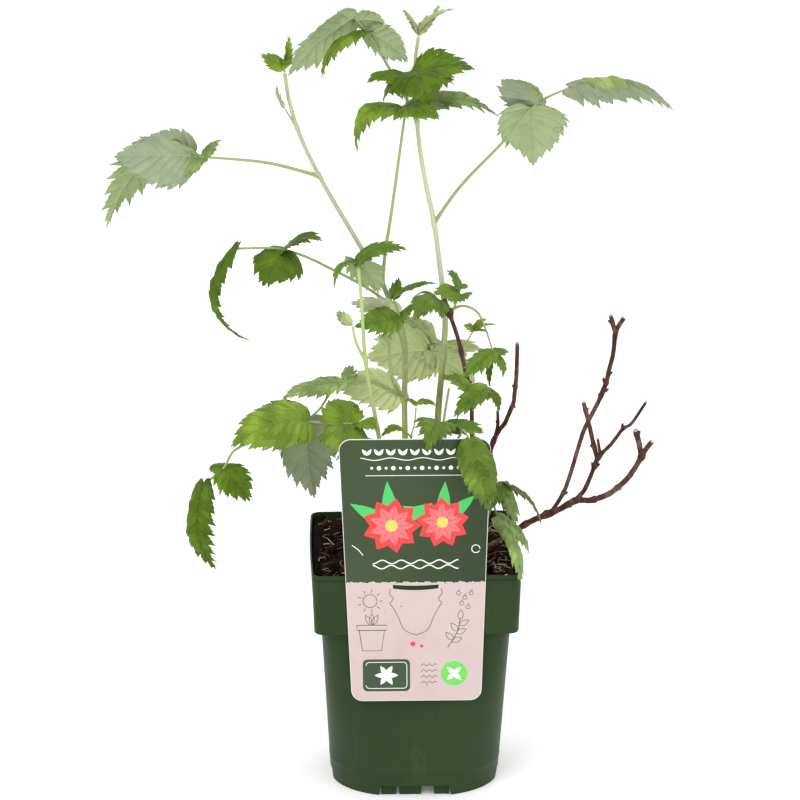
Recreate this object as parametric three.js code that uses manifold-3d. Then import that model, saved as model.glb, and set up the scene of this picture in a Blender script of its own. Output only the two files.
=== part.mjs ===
// A young raspberry plant in a square plastic nursery pot, with a clip-on card label.
// Millimetres, +Z up. The origin is on the pot's underside, on its axis, and the label is at -Y.
import * as THREE from 'three'
import { mergeVertices } from 'three/addons/utils/BufferGeometryUtils.js'
import Module from 'manifold-3d'

const wasm = await Module()
wasm.setup()

// ---- driving dimensions ----
const GAP = 0.3 // left between pieces that touch
const POT_HALF = 66.5 // half of the 133 mm square rim
const POT_HEIGHT = 154
const WALL = 1.2
const COLLAR_HEIGHT = 40 // the stiff band under the rim
const COLLAR_FOOT_HALF = 65
const BODY_TOP_HALF = 60.5
const BODY_FOOT_HALF = 54.5
const RIM_CORNER = 7 // corner radius at the rim
const BODY_CORNER = 16
const FOOT_CORNER = 44 // the pot is nearly round where it stands
const RIM_BOW = 1 // the sides swell outward with the soil
const FLOOR = 7.5 // the pot's floor is raised on its skirt
const MOULD_LINE = 16 // levels where the body's side is stepped
const BODY_MIDDLE = 65
const BOSS_RADIUS = 9 // the foot at the middle of the floor
const ARCH_SPAN = [-23.5, 22] // the opening in the skirt under each side
const ARCH_HIGH = 7
const ARCH_DEEP = 12 // of the cut, through the skirt and a little to each side
const PAD_SPANS = [[-23, -12], [-11.5, 4], [11, 22]] // three feet stand behind each opening
const PAD_DEEP = 3
const PAD_OUT = 49.5
const DRAIN_RADIUS = 5
const DRAIN_OUT = 20
const SOIL_TOP = 150
const FOOT = SOIL_TOP + GAP // where stems stand on the soil

const LABEL_TOP = 246.7
const LABEL_FOOT = 69.3
const LABEL_TOP_HALF = 47.5
const LABEL_FOOT_HALF = 41.5
const LABEL_THICK = 0.8
const LABEL_CORNER = 7.5
const LABEL_LEAN = 0.054 // forward per unit of height
const LABEL_ASIDE = -0.9 // where the card's middle is along X at the rim's height
const LABEL_SLANT = -0.009 // how far it moves along X per unit of height
const WINDOW_HALF = 14.4 // the slot that the label's hook is cut from
const WINDOW_FOOT = 146
const WINDOW_TOP = 149
const HOOK_WIDE = 28

const CANE_SIDES = 8
const CANE_STEP = 14 // length of one straight piece of a cane
const AXIS_STEPS = 400 // places on a limb's middle line where something can leave it
const STALK_SIDES = 5
const STALK_STEP = 12
const STALK_THIN = 0.55 // foot radius of the shortest stalk, and how it gains with reach
const STALK_THICK = 1.2
const STALK_GAIN = 1 / 120
const STALK_TAPER = 0.6
const LEAF_THICK = 1
const SMALL_LEAF_THICK = 0.7
const BLADE_END = 0.35 // half width of a blade's two blunt ends
const TOOTH = 1.04 // width at a tooth and at a notch, against the plain outline
const NOTCH = 0.84
const TOOTH_LEAN = 0.35 // forward lean of a tooth, as a share of one row
const BASE_LOBE = 0.7 // the lobes beside the root reach this share of a row behind it
const EDGE_LIFT = 0.14 // the two halves of a blade fold up like a shallow V
const UP = new THREE.Vector3(0, 0, 1)

const plant = new THREE.Group()

// ---- making shapes ----
const vector = ([x, y, z]) => new THREE.Vector3(x, y, z)

function paint(colour, roughness) {
  return new THREE.MeshStandardMaterial({ color: colour, roughness, metalness: 0 })
}

const potPlastic = paint(0x3f4e32, 0.45)
const darkSoil = paint(0x281c16, 1)
const labelCard = paint(0xe8d6d3, 0.4)
const greenStem = paint(0xb4c878, 0.5)
const oldWood = paint(0x55372d, 0.7)
const leafGreen = paint(0x6e9640, 0.6)

function keep(name, geometry, material) {
  const mesh = new THREE.Mesh(geometry, material)
  mesh.name = name
  plant.add(mesh)
  return mesh
}

// A closed skin over rings of points, each ring anticlockwise about the way of travel.
function skin(rings) {
  const around = rings[0].length
  const places = rings.flat().flatMap((p) => [p.x, p.y, p.z])
  const faces = []
  for (let i = 0; i + 1 < rings.length; i++) {
    for (let j = 0; j < around; j++) {
      const a = i * around + j
      const b = i * around + ((j + 1) % around)
      faces.push(a, b, b + around, a, b + around, a + around)
    }
  }
  const last = (rings.length - 1) * around
  for (let j = 1; j + 1 < around; j++) {
    faces.push(0, j + 1, j, last, last + j, last + j + 1)
  }
  const geometry = new THREE.BufferGeometry()
  geometry.setAttribute('position', new THREE.Float32BufferAttribute(places, 3))
  geometry.setIndex(faces)
  return geometry
}

function solid(geometry) {
  const bare = geometry.clone()
  bare.deleteAttribute('normal')
  bare.deleteAttribute('uv')
  const merged = mergeVertices(bare)
  return new wasm.Manifold(
    new wasm.Mesh({
      numProp: 3,
      vertProperties: new Float32Array(merged.attributes.position.array),
      triVerts: new Uint32Array(merged.index.array),
    }),
  )
}

function surface(body) {
  const mesh = body.getMesh()
  const geometry = new THREE.BufferGeometry()
  geometry.setAttribute('position', new THREE.BufferAttribute(mesh.vertProperties.slice(), 3))
  geometry.setIndex(new THREE.BufferAttribute(mesh.triVerts.slice(), 1))
  return geometry
}

// ---- the pot ----
// One level of the pot: a square with round corners whose sides bow outward.
function potRing(half, corner, z, bow = 0) {
  const steps = 4
  const ring = []
  for (let side = 0; side < 4; side++) {
    const turn = (side * Math.PI) / 2
    const place = (x, y) =>
      ring.push(
        new THREE.Vector3(
          x * Math.cos(turn) - y * Math.sin(turn),
          x * Math.sin(turn) + y * Math.cos(turn),
          z,
        ),
      )
    const straight = half - corner
    for (const along of [-0.5, 0, 0.5]) {
      place(half + bow * (1 - along * along), along * straight)
    }
    for (let i = 0; i <= steps; i++) {
      const angle = ((i / steps) * Math.PI) / 2
      place(straight + corner * Math.cos(angle), straight + corner * Math.sin(angle))
    }
  }
  return ring
}

// Half width and corner radius of the body below the collar, at a height.
function body(z) {
  const t = z / (POT_HEIGHT - COLLAR_HEIGHT)
  return [
    BODY_FOOT_HALF + (BODY_TOP_HALF - BODY_FOOT_HALF) * t,
    FOOT_CORNER + (BODY_CORNER - FOOT_CORNER) * t,
  ]
}

const COLLAR_FOOT = POT_HEIGHT - COLLAR_HEIGHT

// The pot's inner faces, moved in by a distance, from the rim or the soil's top down to the floor.
function innerRings(top, inset) {
  const ledge = COLLAR_FOOT + inset
  const rise = (top - COLLAR_FOOT) / COLLAR_HEIGHT
  const half = COLLAR_FOOT_HALF + (POT_HALF - COLLAR_FOOT_HALF) * rise
  const rings = [
    potRing(half - inset, RIM_CORNER - inset, top, RIM_BOW * rise),
    potRing(COLLAR_FOOT_HALF - inset, RIM_CORNER - inset, ledge),
  ]
  for (const z of [ledge, BODY_MIDDLE, MOULD_LINE, FLOOR + inset + GAP]) {
    const [wide, corner] = body(Math.min(z, COLLAR_FOOT))
    rings.push(potRing(wide - inset, corner - inset, z))
  }
  return rings
}

function drum(radius, low, high, x, y) {
  const sides = 20
  const shape = new THREE.CylinderGeometry(radius, radius, high - low, sides)
  shape.rotateX(Math.PI / 2)
  shape.translate(x, y, (low + high) / 2)
  return solid(shape)
}

function block(wide, deep, high, x, y, z, turn) {
  const shape = new THREE.BoxGeometry(wide, deep, high)
  shape.translate(x, y, z)
  shape.rotateZ(turn)
  return solid(shape)
}

function pot() {
  const skirt = (z) => potRing(body(z)[0] - WALL, body(z)[1] - WALL, z)
  const outside = [MOULD_LINE, BODY_MIDDLE, COLLAR_FOOT].map((z) => potRing(...body(z), z))
  let shell = solid(
    skin([
      skirt(FLOOR),
      skirt(0),
      potRing(...body(0), 0),
      ...outside,
      potRing(COLLAR_FOOT_HALF, RIM_CORNER, COLLAR_FOOT),
      potRing(POT_HALF, RIM_CORNER, POT_HEIGHT, RIM_BOW),
      ...innerRings(POT_HEIGHT, WALL),
    ]),
  )
  const inFloor = FLOOR + WALL // feet reach up into the floor by this much
  shell = shell.add(drum(BOSS_RADIUS, 0, inFloor, 0, 0))
  for (let side = 0; side < 4; side++) {
    const turn = (side * Math.PI) / 2
    const across = ([from, to], deep, high, out, z) =>
      block(to - from, deep, high, (from + to) / 2, -out, z, turn)
    shell = shell.subtract(across(ARCH_SPAN, ARCH_DEEP, 2 * ARCH_HIGH, BODY_FOOT_HALF, 0))
    for (const span of PAD_SPANS) {
      shell = shell.add(across(span, PAD_DEEP, inFloor, PAD_OUT, inFloor / 2))
    }
    const diagonal = turn + Math.PI / 4
    const x = DRAIN_OUT * Math.cos(diagonal)
    const y = DRAIN_OUT * Math.sin(diagonal)
    shell = shell.subtract(drum(DRAIN_RADIUS, FLOOR / 2, 2 * FLOOR, x, y))
  }
  keep('pot', surface(shell), potPlastic)
}

// The soil fills the pot to a little below its rim.
function soil() {
  const rings = innerRings(SOIL_TOP, WALL + 2 * GAP).reverse()
  keep('soil', skin(rings), darkSoil)
}

// ---- the label ----
// A tall card that leans on the collar's front, and hooks over the rim by a tongue cut from its window.
function label() {
  const face = new THREE.Shape()
  const corners = [
    [-LABEL_FOOT_HALF, LABEL_FOOT],
    [LABEL_FOOT_HALF, LABEL_FOOT],
    [LABEL_TOP_HALF, LABEL_TOP],
    [-LABEL_TOP_HALF, LABEL_TOP],
  ]
  corners.forEach(([x, z], i) => {
    const turn = Math.PI * (1 + i / 2)
    const inward = [Math.sign(-x) * LABEL_CORNER, (i < 2 ? 1 : -1) * LABEL_CORNER]
    face.absarc(x + inward[0], z + inward[1], LABEL_CORNER, turn, turn + Math.PI / 2)
  })
  const hole = new THREE.Path()
  hole.moveTo(-WINDOW_HALF, WINDOW_FOOT)
  hole.lineTo(WINDOW_HALF, WINDOW_FOOT)
  hole.lineTo(WINDOW_HALF, WINDOW_TOP)
  hole.lineTo(-WINDOW_HALF, WINDOW_TOP)
  hole.closePath()
  face.holes.push(hole)
  const card = new THREE.ExtrudeGeometry(face, {
    depth: LABEL_THICK,
    bevelEnabled: false,
    curveSegments: 5,
  })
  card.rotateX(Math.PI / 2)
  // the card's back runs just in front of the rim's middle
  const back = -(POT_HALF + RIM_BOW + GAP)
  const places = card.attributes.position
  for (let i = 0; i < places.count; i++) {
    const above = places.getZ(i) - POT_HEIGHT
    places.setX(i, places.getX(i) + LABEL_ASIDE + LABEL_SLANT * above)
    places.setY(i, places.getY(i) + back - LABEL_LEAN * above)
  }

  // the tongue: back over the rim, then down inside the wall
  const inside = -(POT_HALF + RIM_BOW - WALL - 3 * GAP)
  const over = POT_HEIGHT + GAP
  const tip = SOIL_TOP + 1
  const front = back - LABEL_THICK
  const bend = over + LABEL_THICK // the tongue stays joined to the card above the window
  const side = [
    [front, over],
    [inside, over],
    [inside, tip],
    [inside + LABEL_THICK, tip],
    [inside + LABEL_THICK, over + LABEL_THICK],
    [back - LABEL_THICK / 2, bend],
    [front, bend],
  ]
  const outline = new THREE.Shape(side.map(([y, z]) => new THREE.Vector2(y, z)))
  const hook = new THREE.ExtrudeGeometry(outline, { depth: HOOK_WIDE, bevelEnabled: false })
  hook.translate(0, 0, LABEL_ASIDE - HOOK_WIDE / 2)
  // the outline's x runs along Y, its y up Z, and its depth along X
  hook.applyMatrix4(new THREE.Matrix4().set(0, 0, 1, 0, 1, 0, 0, 0, 0, 1, 0, 0, 0, 0, 0, 1))
  keep('label', surface(solid(card).add(solid(hook))), labelCard)
}

// ---- canes and stalks ----
// A ring of points round a centre, anticlockwise about the way of travel.
function ringAbout(centre, travel, reference, radius, sides) {
  const across = reference.clone().addScaledVector(travel, -reference.dot(travel)).normalize()
  const other = travel.clone().cross(across)
  return Array.from({ length: sides }, (_, j) => {
    const angle = (2 * Math.PI * j) / sides
    return centre
      .clone()
      .addScaledVector(across, radius * Math.cos(angle))
      .addScaledVector(other, radius * Math.sin(angle))
  })
}

// A tapering round limb through points. A limb that starts on a parent begins just clear of it.
function limb(points, footRadius, tipRadius, sides, step, parent = null) {
  const curve = new THREE.CatmullRomCurve3(points.map(vector), false, 'centripetal')
  const length = curve.getLength()
  const span = points[points.length - 1].map((value, i) => value - points[0][i])
  const reference = Math.abs(span[2]) > Math.hypot(span[0], span[1]) ? vector([1, 0, 0]) : UP
  const ringAt = (u) => {
    const radius = footRadius + (tipRadius - footRadius) * u
    return ringAbout(curve.getPointAt(u), curve.getTangentAt(u), reference, radius, sides)
  }
  let start = 0
  const furthest = 0.9
  const nudge = GAP / 3 / length
  while (parent && start < furthest && ringAt(start).some((p) => parent.clearance(p) < GAP)) {
    start += nudge
  }
  const count = Math.max(2, Math.round((length * (1 - start)) / step))
  const rings = []
  const axis = []
  for (let i = 0; i <= count; i++) {
    const u = Math.min(1, start + ((1 - start) * i) / count)
    rings.push(ringAt(u))
    axis.push({ at: curve.getPointAt(u), radius: footRadius + (tipRadius - footRadius) * u })
  }
  // how far a point lies outside the limb
  const clearance = (p) => {
    let nearest = Infinity
    for (let i = 0; i + 1 < axis.length; i++) {
      const line = new THREE.Line3(axis[i].at, axis[i + 1].at)
      const along = line.closestPointToPointParameter(p, true)
      const radius = axis[i].radius + (axis[i + 1].radius - axis[i].radius) * along
      nearest = Math.min(nearest, line.at(along, new THREE.Vector3()).distanceTo(p) - radius)
    }
    return nearest
  }
  // the point on the axis at a height
  const fine = curve.getSpacedPoints(AXIS_STEPS)
  const atHeight = (z) =>
    fine.reduce((best, p) => (Math.abs(p.z - z) < Math.abs(best.z - z) ? p : best))
  const tip = curve.getPointAt(1).addScaledVector(curve.getTangentAt(1), GAP)
  return { curve, rings, clearance, atHeight, tip, length }
}

// A stem that stands on the soil, cut level there.
function cane(name, material, points, footRadius, tipRadius) {
  const made = limb(points, footRadius, tipRadius, CANE_SIDES, CANE_STEP)
  const travel = made.curve.getTangentAt(0)
  for (const p of made.rings[0]) {
    p.addScaledVector(travel, (FOOT - p.z) / travel.z)
  }
  keep(name, skin(made.rings), material)
  return made
}

// A side branch that starts on a limb at a height, or goes on from its tip.
function bough(name, material, parent, height, points, footRadius, tipRadius) {
  const onTip = height === null
  const from = (onTip ? parent.tip : parent.atHeight(height)).toArray()
  const start = onTip ? null : parent
  const made = limb([from, ...points], footRadius, tipRadius, CANE_SIDES, CANE_STEP, start)
  keep(name, skin(made.rings), material)
  return made
}

// ---- leaves ----
// Half width along a leaflet, from its root at 0 to its drawn-out tip at 1.
function halfWidth(t) {
  const shape = (s) => s ** 0.38 * (1 - s) ** 0.88
  return shape(t) / shape(0.302)
}

// A toothed blade from a root to a tip. It bows by arch toward its upper side, which turns to face.
function blade(root, tip, wide, arch, face) {
  const chord = tip.clone().sub(root)
  const length = chord.length()
  const along = chord.clone().normalize()
  const rise = face.clone().addScaledVector(along, -face.dot(along)).normalize()
  const across = rise.clone().cross(along)
  const rows = length > 32 ? 10 : length > 16 ? 8 : 4
  const thick = (length > 20 ? LEAF_THICK : SMALL_LEAF_THICK) / 2
  const rings = []
  for (let i = 0; i <= rows; i++) {
    const t = i / rows
    const middle = root
      .clone()
      .addScaledVector(chord, t)
      .addScaledVector(rise, 4 * arch * t * (1 - t))
    const travel = chord.clone().addScaledVector(rise, 4 * arch * (1 - 2 * t)).normalize()
    const normal = across.clone().cross(travel).negate()
    const ends = i === 0 || i === rows
    const tooth = i % 2 === 1
    const half = ends ? BLADE_END : (wide / 2) * halfWidth(t) * (tooth ? TOOTH : NOTCH)
    const lean = i === 1 ? -BASE_LOBE : tooth ? TOOTH_LEAN : 0
    const edge = (way) =>
      middle
        .clone()
        .addScaledVector(across, way * half)
        .addScaledVector(normal, EDGE_LIFT * half)
        .addScaledVector(travel, ends ? 0 : (lean * length) / rows)
    const depth = i === rows ? thick / 2 : thick
    rings.push([
      edge(1),
      middle.clone().addScaledVector(normal, depth),
      edge(-1),
      middle.clone().addScaledVector(normal, -depth),
    ])
  }
  return skin(rings)
}

// A compound leaf: its stalk leaves the cane at a height and runs through points, and each leaflet
// is [place along the stalk, tip, width, arch, way its upper side faces].
function leaf(name, parent, height, points, leaflets) {
  const onTip = height === null
  const from = (onTip ? parent.tip : parent.atHeight(height)).toArray()
  const reach = Math.hypot(...points[points.length - 1].map((value, i) => value - from[i]))
  const foot = Math.min(STALK_THICK, STALK_THIN + reach * STALK_GAIN)
  const start = onTip ? null : parent
  const stalk = limb([from, ...points], foot, foot * STALK_TAPER, STALK_SIDES, STALK_STEP, start)
  let body = solid(skin(stalk.rings))
  for (const [place, tip, wide, arch, face] of leaflets) {
    const root = stalk.curve.getPointAt(place)
    if (place === 1) {
      root.addScaledVector(stalk.curve.getTangentAt(1), -2 * GAP)
    }
    body = body.add(solid(blade(root, vector(tip), wide, arch, vector(face))))
  }
  keep(name, surface(body), leafGreen)
}

pot()
soil()
label()

// ---- the green canes ----
const leftCane = cane('cane_left', greenStem, [
  [-5, 8, FOOT], [-5, 8, 187], [-6, 6, 248], [-6, 3, 282], [-12, -1, 306], [-20, -5, 328],
  [-33, -9, 352], [-60, -17, 402], [-73, -22, 432], [-79, -25, 455], [-81, -27, 470],
], 2.2, 1.1)
const rightCane = cane('cane_right', greenStem, [
  [16, 0, FOOT], [15, 2, 229], [19, 4, 282], [20, 5, 300], [19, 5, 316], [16, 6, 341],
  [13, 7, 364], [7, 8, 393], [3, 9, 419], [1.5, 9, 444], [1, 10, 470], [3, 10, 485],
], 2.5, 1.1)
const frontCane = cane('cane_front', greenStem, [
  [-15, -20, FOOT], [-23, -24, 232], [-29, -26, 267], [-32, -27, 290], [-34, -28, 324], [-36, -28, 346],
], 1.6, 1)
const frontShoot = bough('shoot_front', greenStem, frontCane, 284, [[-37, -30, 296], [-40, -33, 309]], 1.1, 0.7)
const paleShoot = bough('shoot_pale', greenStem, leftCane, 250, [[-13, -4, 263], [-16, -7, 281], [-16, -9, 289]], 1.4, 0.9)
const hairyStem = cane('stem_hairy', greenStem, [[19, 14, FOOT], [19, 12, 226], [20, 12, 236], [23, 13, 255]], 1.1, 0.8)
const thinStem = cane('stem_thin', greenStem, [[-1, -12, FOOT], [-2, -8, 228], [0, -9, 237], [1, -10, 249]], 0.8, 0.5)
const lowStem = cane('stem_low', greenStem, [[14, -26, FOOT], [16, -30, 200], [19, -33, 236]], 1.3, 0.8)
const rightStem = cane('stem_right', greenStem, [[38, -12, FOOT], [48, -15, 180], [55, -20, 198]], 1.4, 0.9)
const backStem = cane('stem_back', greenStem, [[-20, 30, FOOT], [-23, 38, 178], [-26, 46, 196]], 1.3, 0.8)
const rearStem = cane('stem_rear', greenStem, [[22, 36, FOOT], [24, 42, 176], [27, 48, 192]], 1.3, 0.8)

// ---- the old, cut canes ----
const cutCane = cane('old_cane_cut', oldWood, [
  [37, -3, FOOT], [37, -4, 232], [36, -4, 256], [32.5, -4, 271], [28, -5, 291.5], [21.5, -6.5, 311.5], [16.5, -7, 327],
], 1.5, 1.3)
const bentCane = cane('old_cane_bent', oldWood, [
  [42, 20, FOOT], [49, 15.5, 205], [52, 15, 218], [55.5, 15, 225], [59, 14, 230], [61.5, 13, 236.5],
  [64.5, 12.5, 244.5], [65, 12, 250], [66, 11.5, 261], [66.5, 10, 285],
], 1.8, 1.3)
bough('old_stub', oldWood, bentCane, 218, [[54.5, 15.5, 228.5], [54.5, 17, 237.5]], 1.1, 1)
const longCane = cane('old_cane_long', oldWood, [
  [45.5, -7, FOOT], [48, -4.5, 152], [54, 2, 153], [59.5, 8, 153.8], [62.5, 11.5, 154.9], [66.5, 14, 157],
  [76, 14, 163], [89, 13.5, 169], [95.5, 13, 172], [101.5, 12, 176], [106, 11, 178.5], [110, 9, 179],
  [114, 7, 179.5], [117.5, 5, 181],
], 2.1, 1.95)
const backBough = bough('old_bough_back', oldWood, longCane, 169, [
  [95, 17.5, 176.5], [98.5, 20.5, 182], [103.5, 27, 194], [107.5, 31, 206.5], [112, 36, 218.5], [118.5, 40, 230.5],
  [122, 42, 237], [126.5, 44, 248], [128.5, 45, 256.5], [131, 46, 267.5], [132.5, 47.5, 281], [134, 48, 284.5],
  [138, 50, 290],
], 1.35, 1.55)
bough('old_fork_back', oldWood, backBough, 280, [[131, 47.5, 285], [129, 48, 292.5]], 1.45, 1.4)
const middleBough = bough('old_bough_middle', oldWood, longCane, 178, [
  [110.5, 9.5, 185.5], [113.5, 8, 193], [116, 6.5, 200.5], [119, 5, 209], [127, 1, 219.5], [134.5, -5, 232],
  [138, -7, 234.5], [148, -12, 251.5],
], 1.6, 0.95)
bough('old_fork_middle', oldWood, middleBough, 208, [[116, 7.5, 217.5], [114, 9, 226.5], [109.5, 12, 244.5]], 1.5, 1.4)
bough('old_nub_middle', oldWood, middleBough, 211, [[118.5, 5, 222]], 1.1, 0.9)
const frontBough = bough('old_bough_front', oldWood, longCane, null, [
  [121, 3, 182.9], [126.5, 0, 186.5], [132.5, -3, 192.5], [138.5, -7, 200.5], [144.5, -11, 212.5], [148, -14, 220.5],
  [152, -14, 225.5],
], 1.95, 1.7)
bough('old_fork_front', oldWood, frontBough, 215, [[143, -15, 226.5], [141, -16, 234]], 1.85, 1.75)

// ---- the leaves of the left cane ----
leaf('leaf_high_left', leftCane, 402, [[-91, -12, 409], [-116, -8, 411], [-140, -5, 412]], [
  [1, [-188, -14, 414], 40, 4, [0, 1, 0.1]],
  [0.97, [-195, 18, 360], 32, 18, [-0.5, 0.7, 0.6]],
  [0.9, [-121, 14, 418], 10, 3, [0, 0.2, 1]],
  [0.93, [-145, -14, 400], 9, 2, [0.2, -0.2, 1]],
])
leaf('leaf_top', leftCane, 329, [[-18, -7, 354], [-16, -7, 366], [-5, -4, 445], [-2, -4, 465]], [
  [1, [8, -42, 452], 50, 8, [0, -0.6, 1]],
  [0.97, [-30, -22, 462], 28, 5, [-0.2, -0.5, 1]],
  [0.97, [37, -22, 470], 34, 5, [0.2, -0.5, 1]],
  [0.82, [-36, -8, 415], 17, 20, [-0.3, -0.6, 1]],
  [0.82, [53, 2, 435], 19, 11, [0, -0.5, 0.8]],
  [0.84, [15, -20, 438], 24, 3, [0.2, -0.6, 0.9]],
])
leaf('leaf_tip_left', leftCane, null, [[-82, -27, 474]], [
  [1, [-96, -34, 483], 10, 2, [-0.5, -0.7, 0.5]],
  [1, [-78, -26, 493], 8, 1, [0.6, -1, 0.2]],
])
leaf('leaf_bud_left', leftCane, 434, [[-82, -25, 448]], [
  [1, [-86, -27, 462], 6, 1, [-0.8, -0.5, 0.3]],
])
leaf('leaf_centre', leftCane, 271, [[-5, -5, 288], [-7, -9, 300], [-10, -12, 311], [-14, -12, 322]], [
  [0.74, [-39, -22, 305], 18, 4, [0, -1, 0.6]],
  [0.8, [-41, -12, 318], 16, 2, [0, 1, 0.2]],
  [1, [-10, -6, 333], 9, 1, [0.5, -0.5, 0.3]],
  [1, [14, -6, 329], 7, 3, [0, -0.2, 1]],
  [0.72, [1, -16, 318], 9, 1, [0, -0.5, 1]],
])
leaf('leaf_pale_tip', paleShoot, null, [[-16, -9, 291]], [
  [1, [-23, -12, 298], 7, 2, [-0.5, -0.8, 0.5]],
  [1, [-13, -9, 299], 5, 1, [0.5, -0.8, 0.3]],
])
leaf('leaf_low_back', leftCane, 251, [[-18, 8, 256], [-27, 9, 260], [-49, 6, 258], [-61, 0, 244], [-69, -6, 239]], [
  [0.06, [-51, 16, 254], 32, 3, [0, 1, 0.35]],
  [0.5, [-41, 20, 268], 11, 1, [0, 0.7, 0.7]],
  [0.55, [-85, -2, 251], 21, 4, [0, -0.2, 1]],
  [1, [-64, -2, 185], 38, 6, [-0.3, 1, 0.3]],
])

// ---- the leaves of the right cane ----
leaf('leaf_high_right', rightCane, 365, [[28, 4, 388], [58, -2, 422], [77, -6, 445], [98, -8, 456]], [
  [1, [161, -14, 442], 34, 13, [0, 0.78, 0.63]],
  [0.78, [76, 18, 399], 43, 5, [0, 1, 0.5]],
  [0.8, [58, -20, 463], 38, 5, [0, 0.75, 0.65]],
])
leaf('leaf_arching', rightCane, 430, [[-2, 14, 439], [-17, 16, 466], [-27, 14, 484], [-38, 12, 497]], [
  [1, [-79, -6, 463], 26, 5, [-0.2, 0.7, 0.6]],
  [0.96, [-18, 8, 493], 14, 3, [0, 0.9, 0.3]],
  [0.83, [-58, -10, 463], 14, 9, [-0.3, -0.1, 1]],
  [0.83, [-4, 2, 470], 22, 3, [0, 0.9, 0.5]],
])
leaf('leaf_tip_right', rightCane, null, [[3, 10, 488]], [
  [1, [-7, 4, 503], 7, -2, [-1, -0.6, 0.2]],
  [1, [16, 12, 505], 7, 3, [0.5, -0.6, 0.3]],
  [1, [25, 6, 503], 7, 4, [0.3, -0.6, 0.8]],
])
leaf('leaf_mid_left', rightCane, 285, [
  [-7, 9, 305], [-29, 8, 322], [-53, 2, 337], [-72, -5, 348], [-88, -8, 353], [-114, -12, 354],
], [
  [0.79, [-58, -22, 361], 22, 6, [0, -0.35, 1]],
  [0.79, [-96, -22, 332], 36, 4, [0, -0.7, 1]],
  [1, [-105, -16, 295], 13, 20, [-1, -0.5, 0.2]],
])
leaf('leaf_backlit', rightCane, 278, [[15, 22, 276], [11, 40, 272]], [
  [1, [-30, 52, 263], 44, 3, [0, 1, 0.2]],
  [1, [-11, 50, 291], 30, 4, [0, 0.8, 0.5]],
  [0.9, [42, 32, 246], 24, 5, [0.2, 0.9, 0.4]],
  [1, [48, 50, 268], 24, 4, [0.1, 0.8, 0.6]],
])

// ---- the leaves of the front cane ----
leaf('leaf_front', frontCane, null, [[-37, -28, 349]], [
  [1, [-5, -30, 357], 13, 6, [-0.1, -0.5, 1]],
  [1, [-23, -16, 325], 21, 3, [0.2, 1, 0.3]],
  [1, [-44, -22, 346], 15, 1, [0, 1, 0.4]],
  [1, [-51, -38, 335], 7, 7, [-0.3, -0.4, 1]],
])
leaf('leaf_front_bud', frontShoot, null, [[-41, -33, 311]], [
  [1, [-50, -36, 319], 7, -2, [-0.5, -0.6, 0.6]],
])
leaf('leaf_low_front', frontCane, 239, [[-34, -30, 244], [-46, -34, 245], [-69, -32, 246]], [
  [1, [-117, -44, 233], 42, 10, [-0.1, -0.6, 0.8]],
  [0.48, [-49, -18, 257], 28, 2, [0, -0.3, 1]],
  [0.5, [-43, -52, 224], 36, 5, [0.2, -0.8, 0.6]],
  [0.3, [-27, -42, 243], 14, 3, [0.2, -0.6, 0.8]],
])
leaf('leaf_low_left', frontCane, 229, [
  [-45, -20, 235], [-67, -17, 233], [-92, -20, 232], [-115, -25, 225], [-122, -28, 214], [-135, -30, 204],
], [
  [1, [-127, -36, 149], 20, 11, [-0.8, -1, 0.2]],
  [0.87, [-131, -22, 213], 12, 1, [0, -0.3, 1]],
  [0.87, [-105, -44, 197], 22, 3, [0.3, -0.8, 0.5]],
])

// ---- the leaves of the low stems ----
leaf('leaf_thin_tip', thinStem, null, [[1, -10, 251]], [
  [1, [14, -14, 250], 6, 3, [0, -0.5, 1]],
  [1, [-5, -8, 253], 4, 1, [0, -0.5, 1]],
])
leaf('leaf_thin_side', thinStem, 228, [[-7, -14, 234]], [
  [1, [-22, -22, 232], 8, 5, [-0.2, -0.4, 1]],
])
leaf('leaf_label_top', lowStem, null, [[19, -37, 244]], [
  [1, [6, -85, 241], 24, 9, [-0.1, -0.7, 0.7]],
  [1, [43, -44, 241], 15, 2, [0.1, -0.5, 1]],
])
leaf('leaf_label_right', lowStem, 222, [[27, -48, 240], [29, -66, 250], [33, -78, 246]], [
  [1, [44, -82, 202], 26, 7, [0.3, -1, 0.3]],
  [0.95, [32, -80, 226], 9, 2, [0, -1, 0.3]],
])
leaf('leaf_right_low', rightStem, null, [[57, -22, 201]], [
  [1, [49, -34, 188], 12, 2, [-0.3, -0.8, 0.4]],
  [1, [80, -30, 176], 17, 5, [0.2, 0.4, 1]],
  [1, [64, -38, 178], 13, 3, [0.3, -0.8, 0.5]],
])
leaf('leaf_right_rim', rightStem, 186, [[53, -34, 180]], [
  [1, [65, -74, 151], 17, 8, [0.5, -0.7, 0.3]],
  [0.8, [73, -20, 153], 13, 4, [0.6, -0.3, 0.6]],
])
leaf('leaf_back_left', backStem, null, [[-30, 52, 200]], [
  [1, [-44, 74, 184], 26, 4, [-0.3, 0.5, 1]],
  [0.8, [-50, 44, 196], 20, 3, [-0.3, 0.2, 1]],
  [0.8, [-12, 62, 192], 20, 3, [0.3, 0.3, 1]],
])
leaf('leaf_back_right', rearStem, null, [[31, 54, 195]], [
  [1, [46, 76, 178], 26, 4, [0.3, 0.5, 1]],
  [0.8, [50, 46, 190], 20, 3, [0.3, 0.2, 1]],
  [0.8, [12, 64, 186], 20, 3, [-0.3, 0.3, 1]],
])

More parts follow.
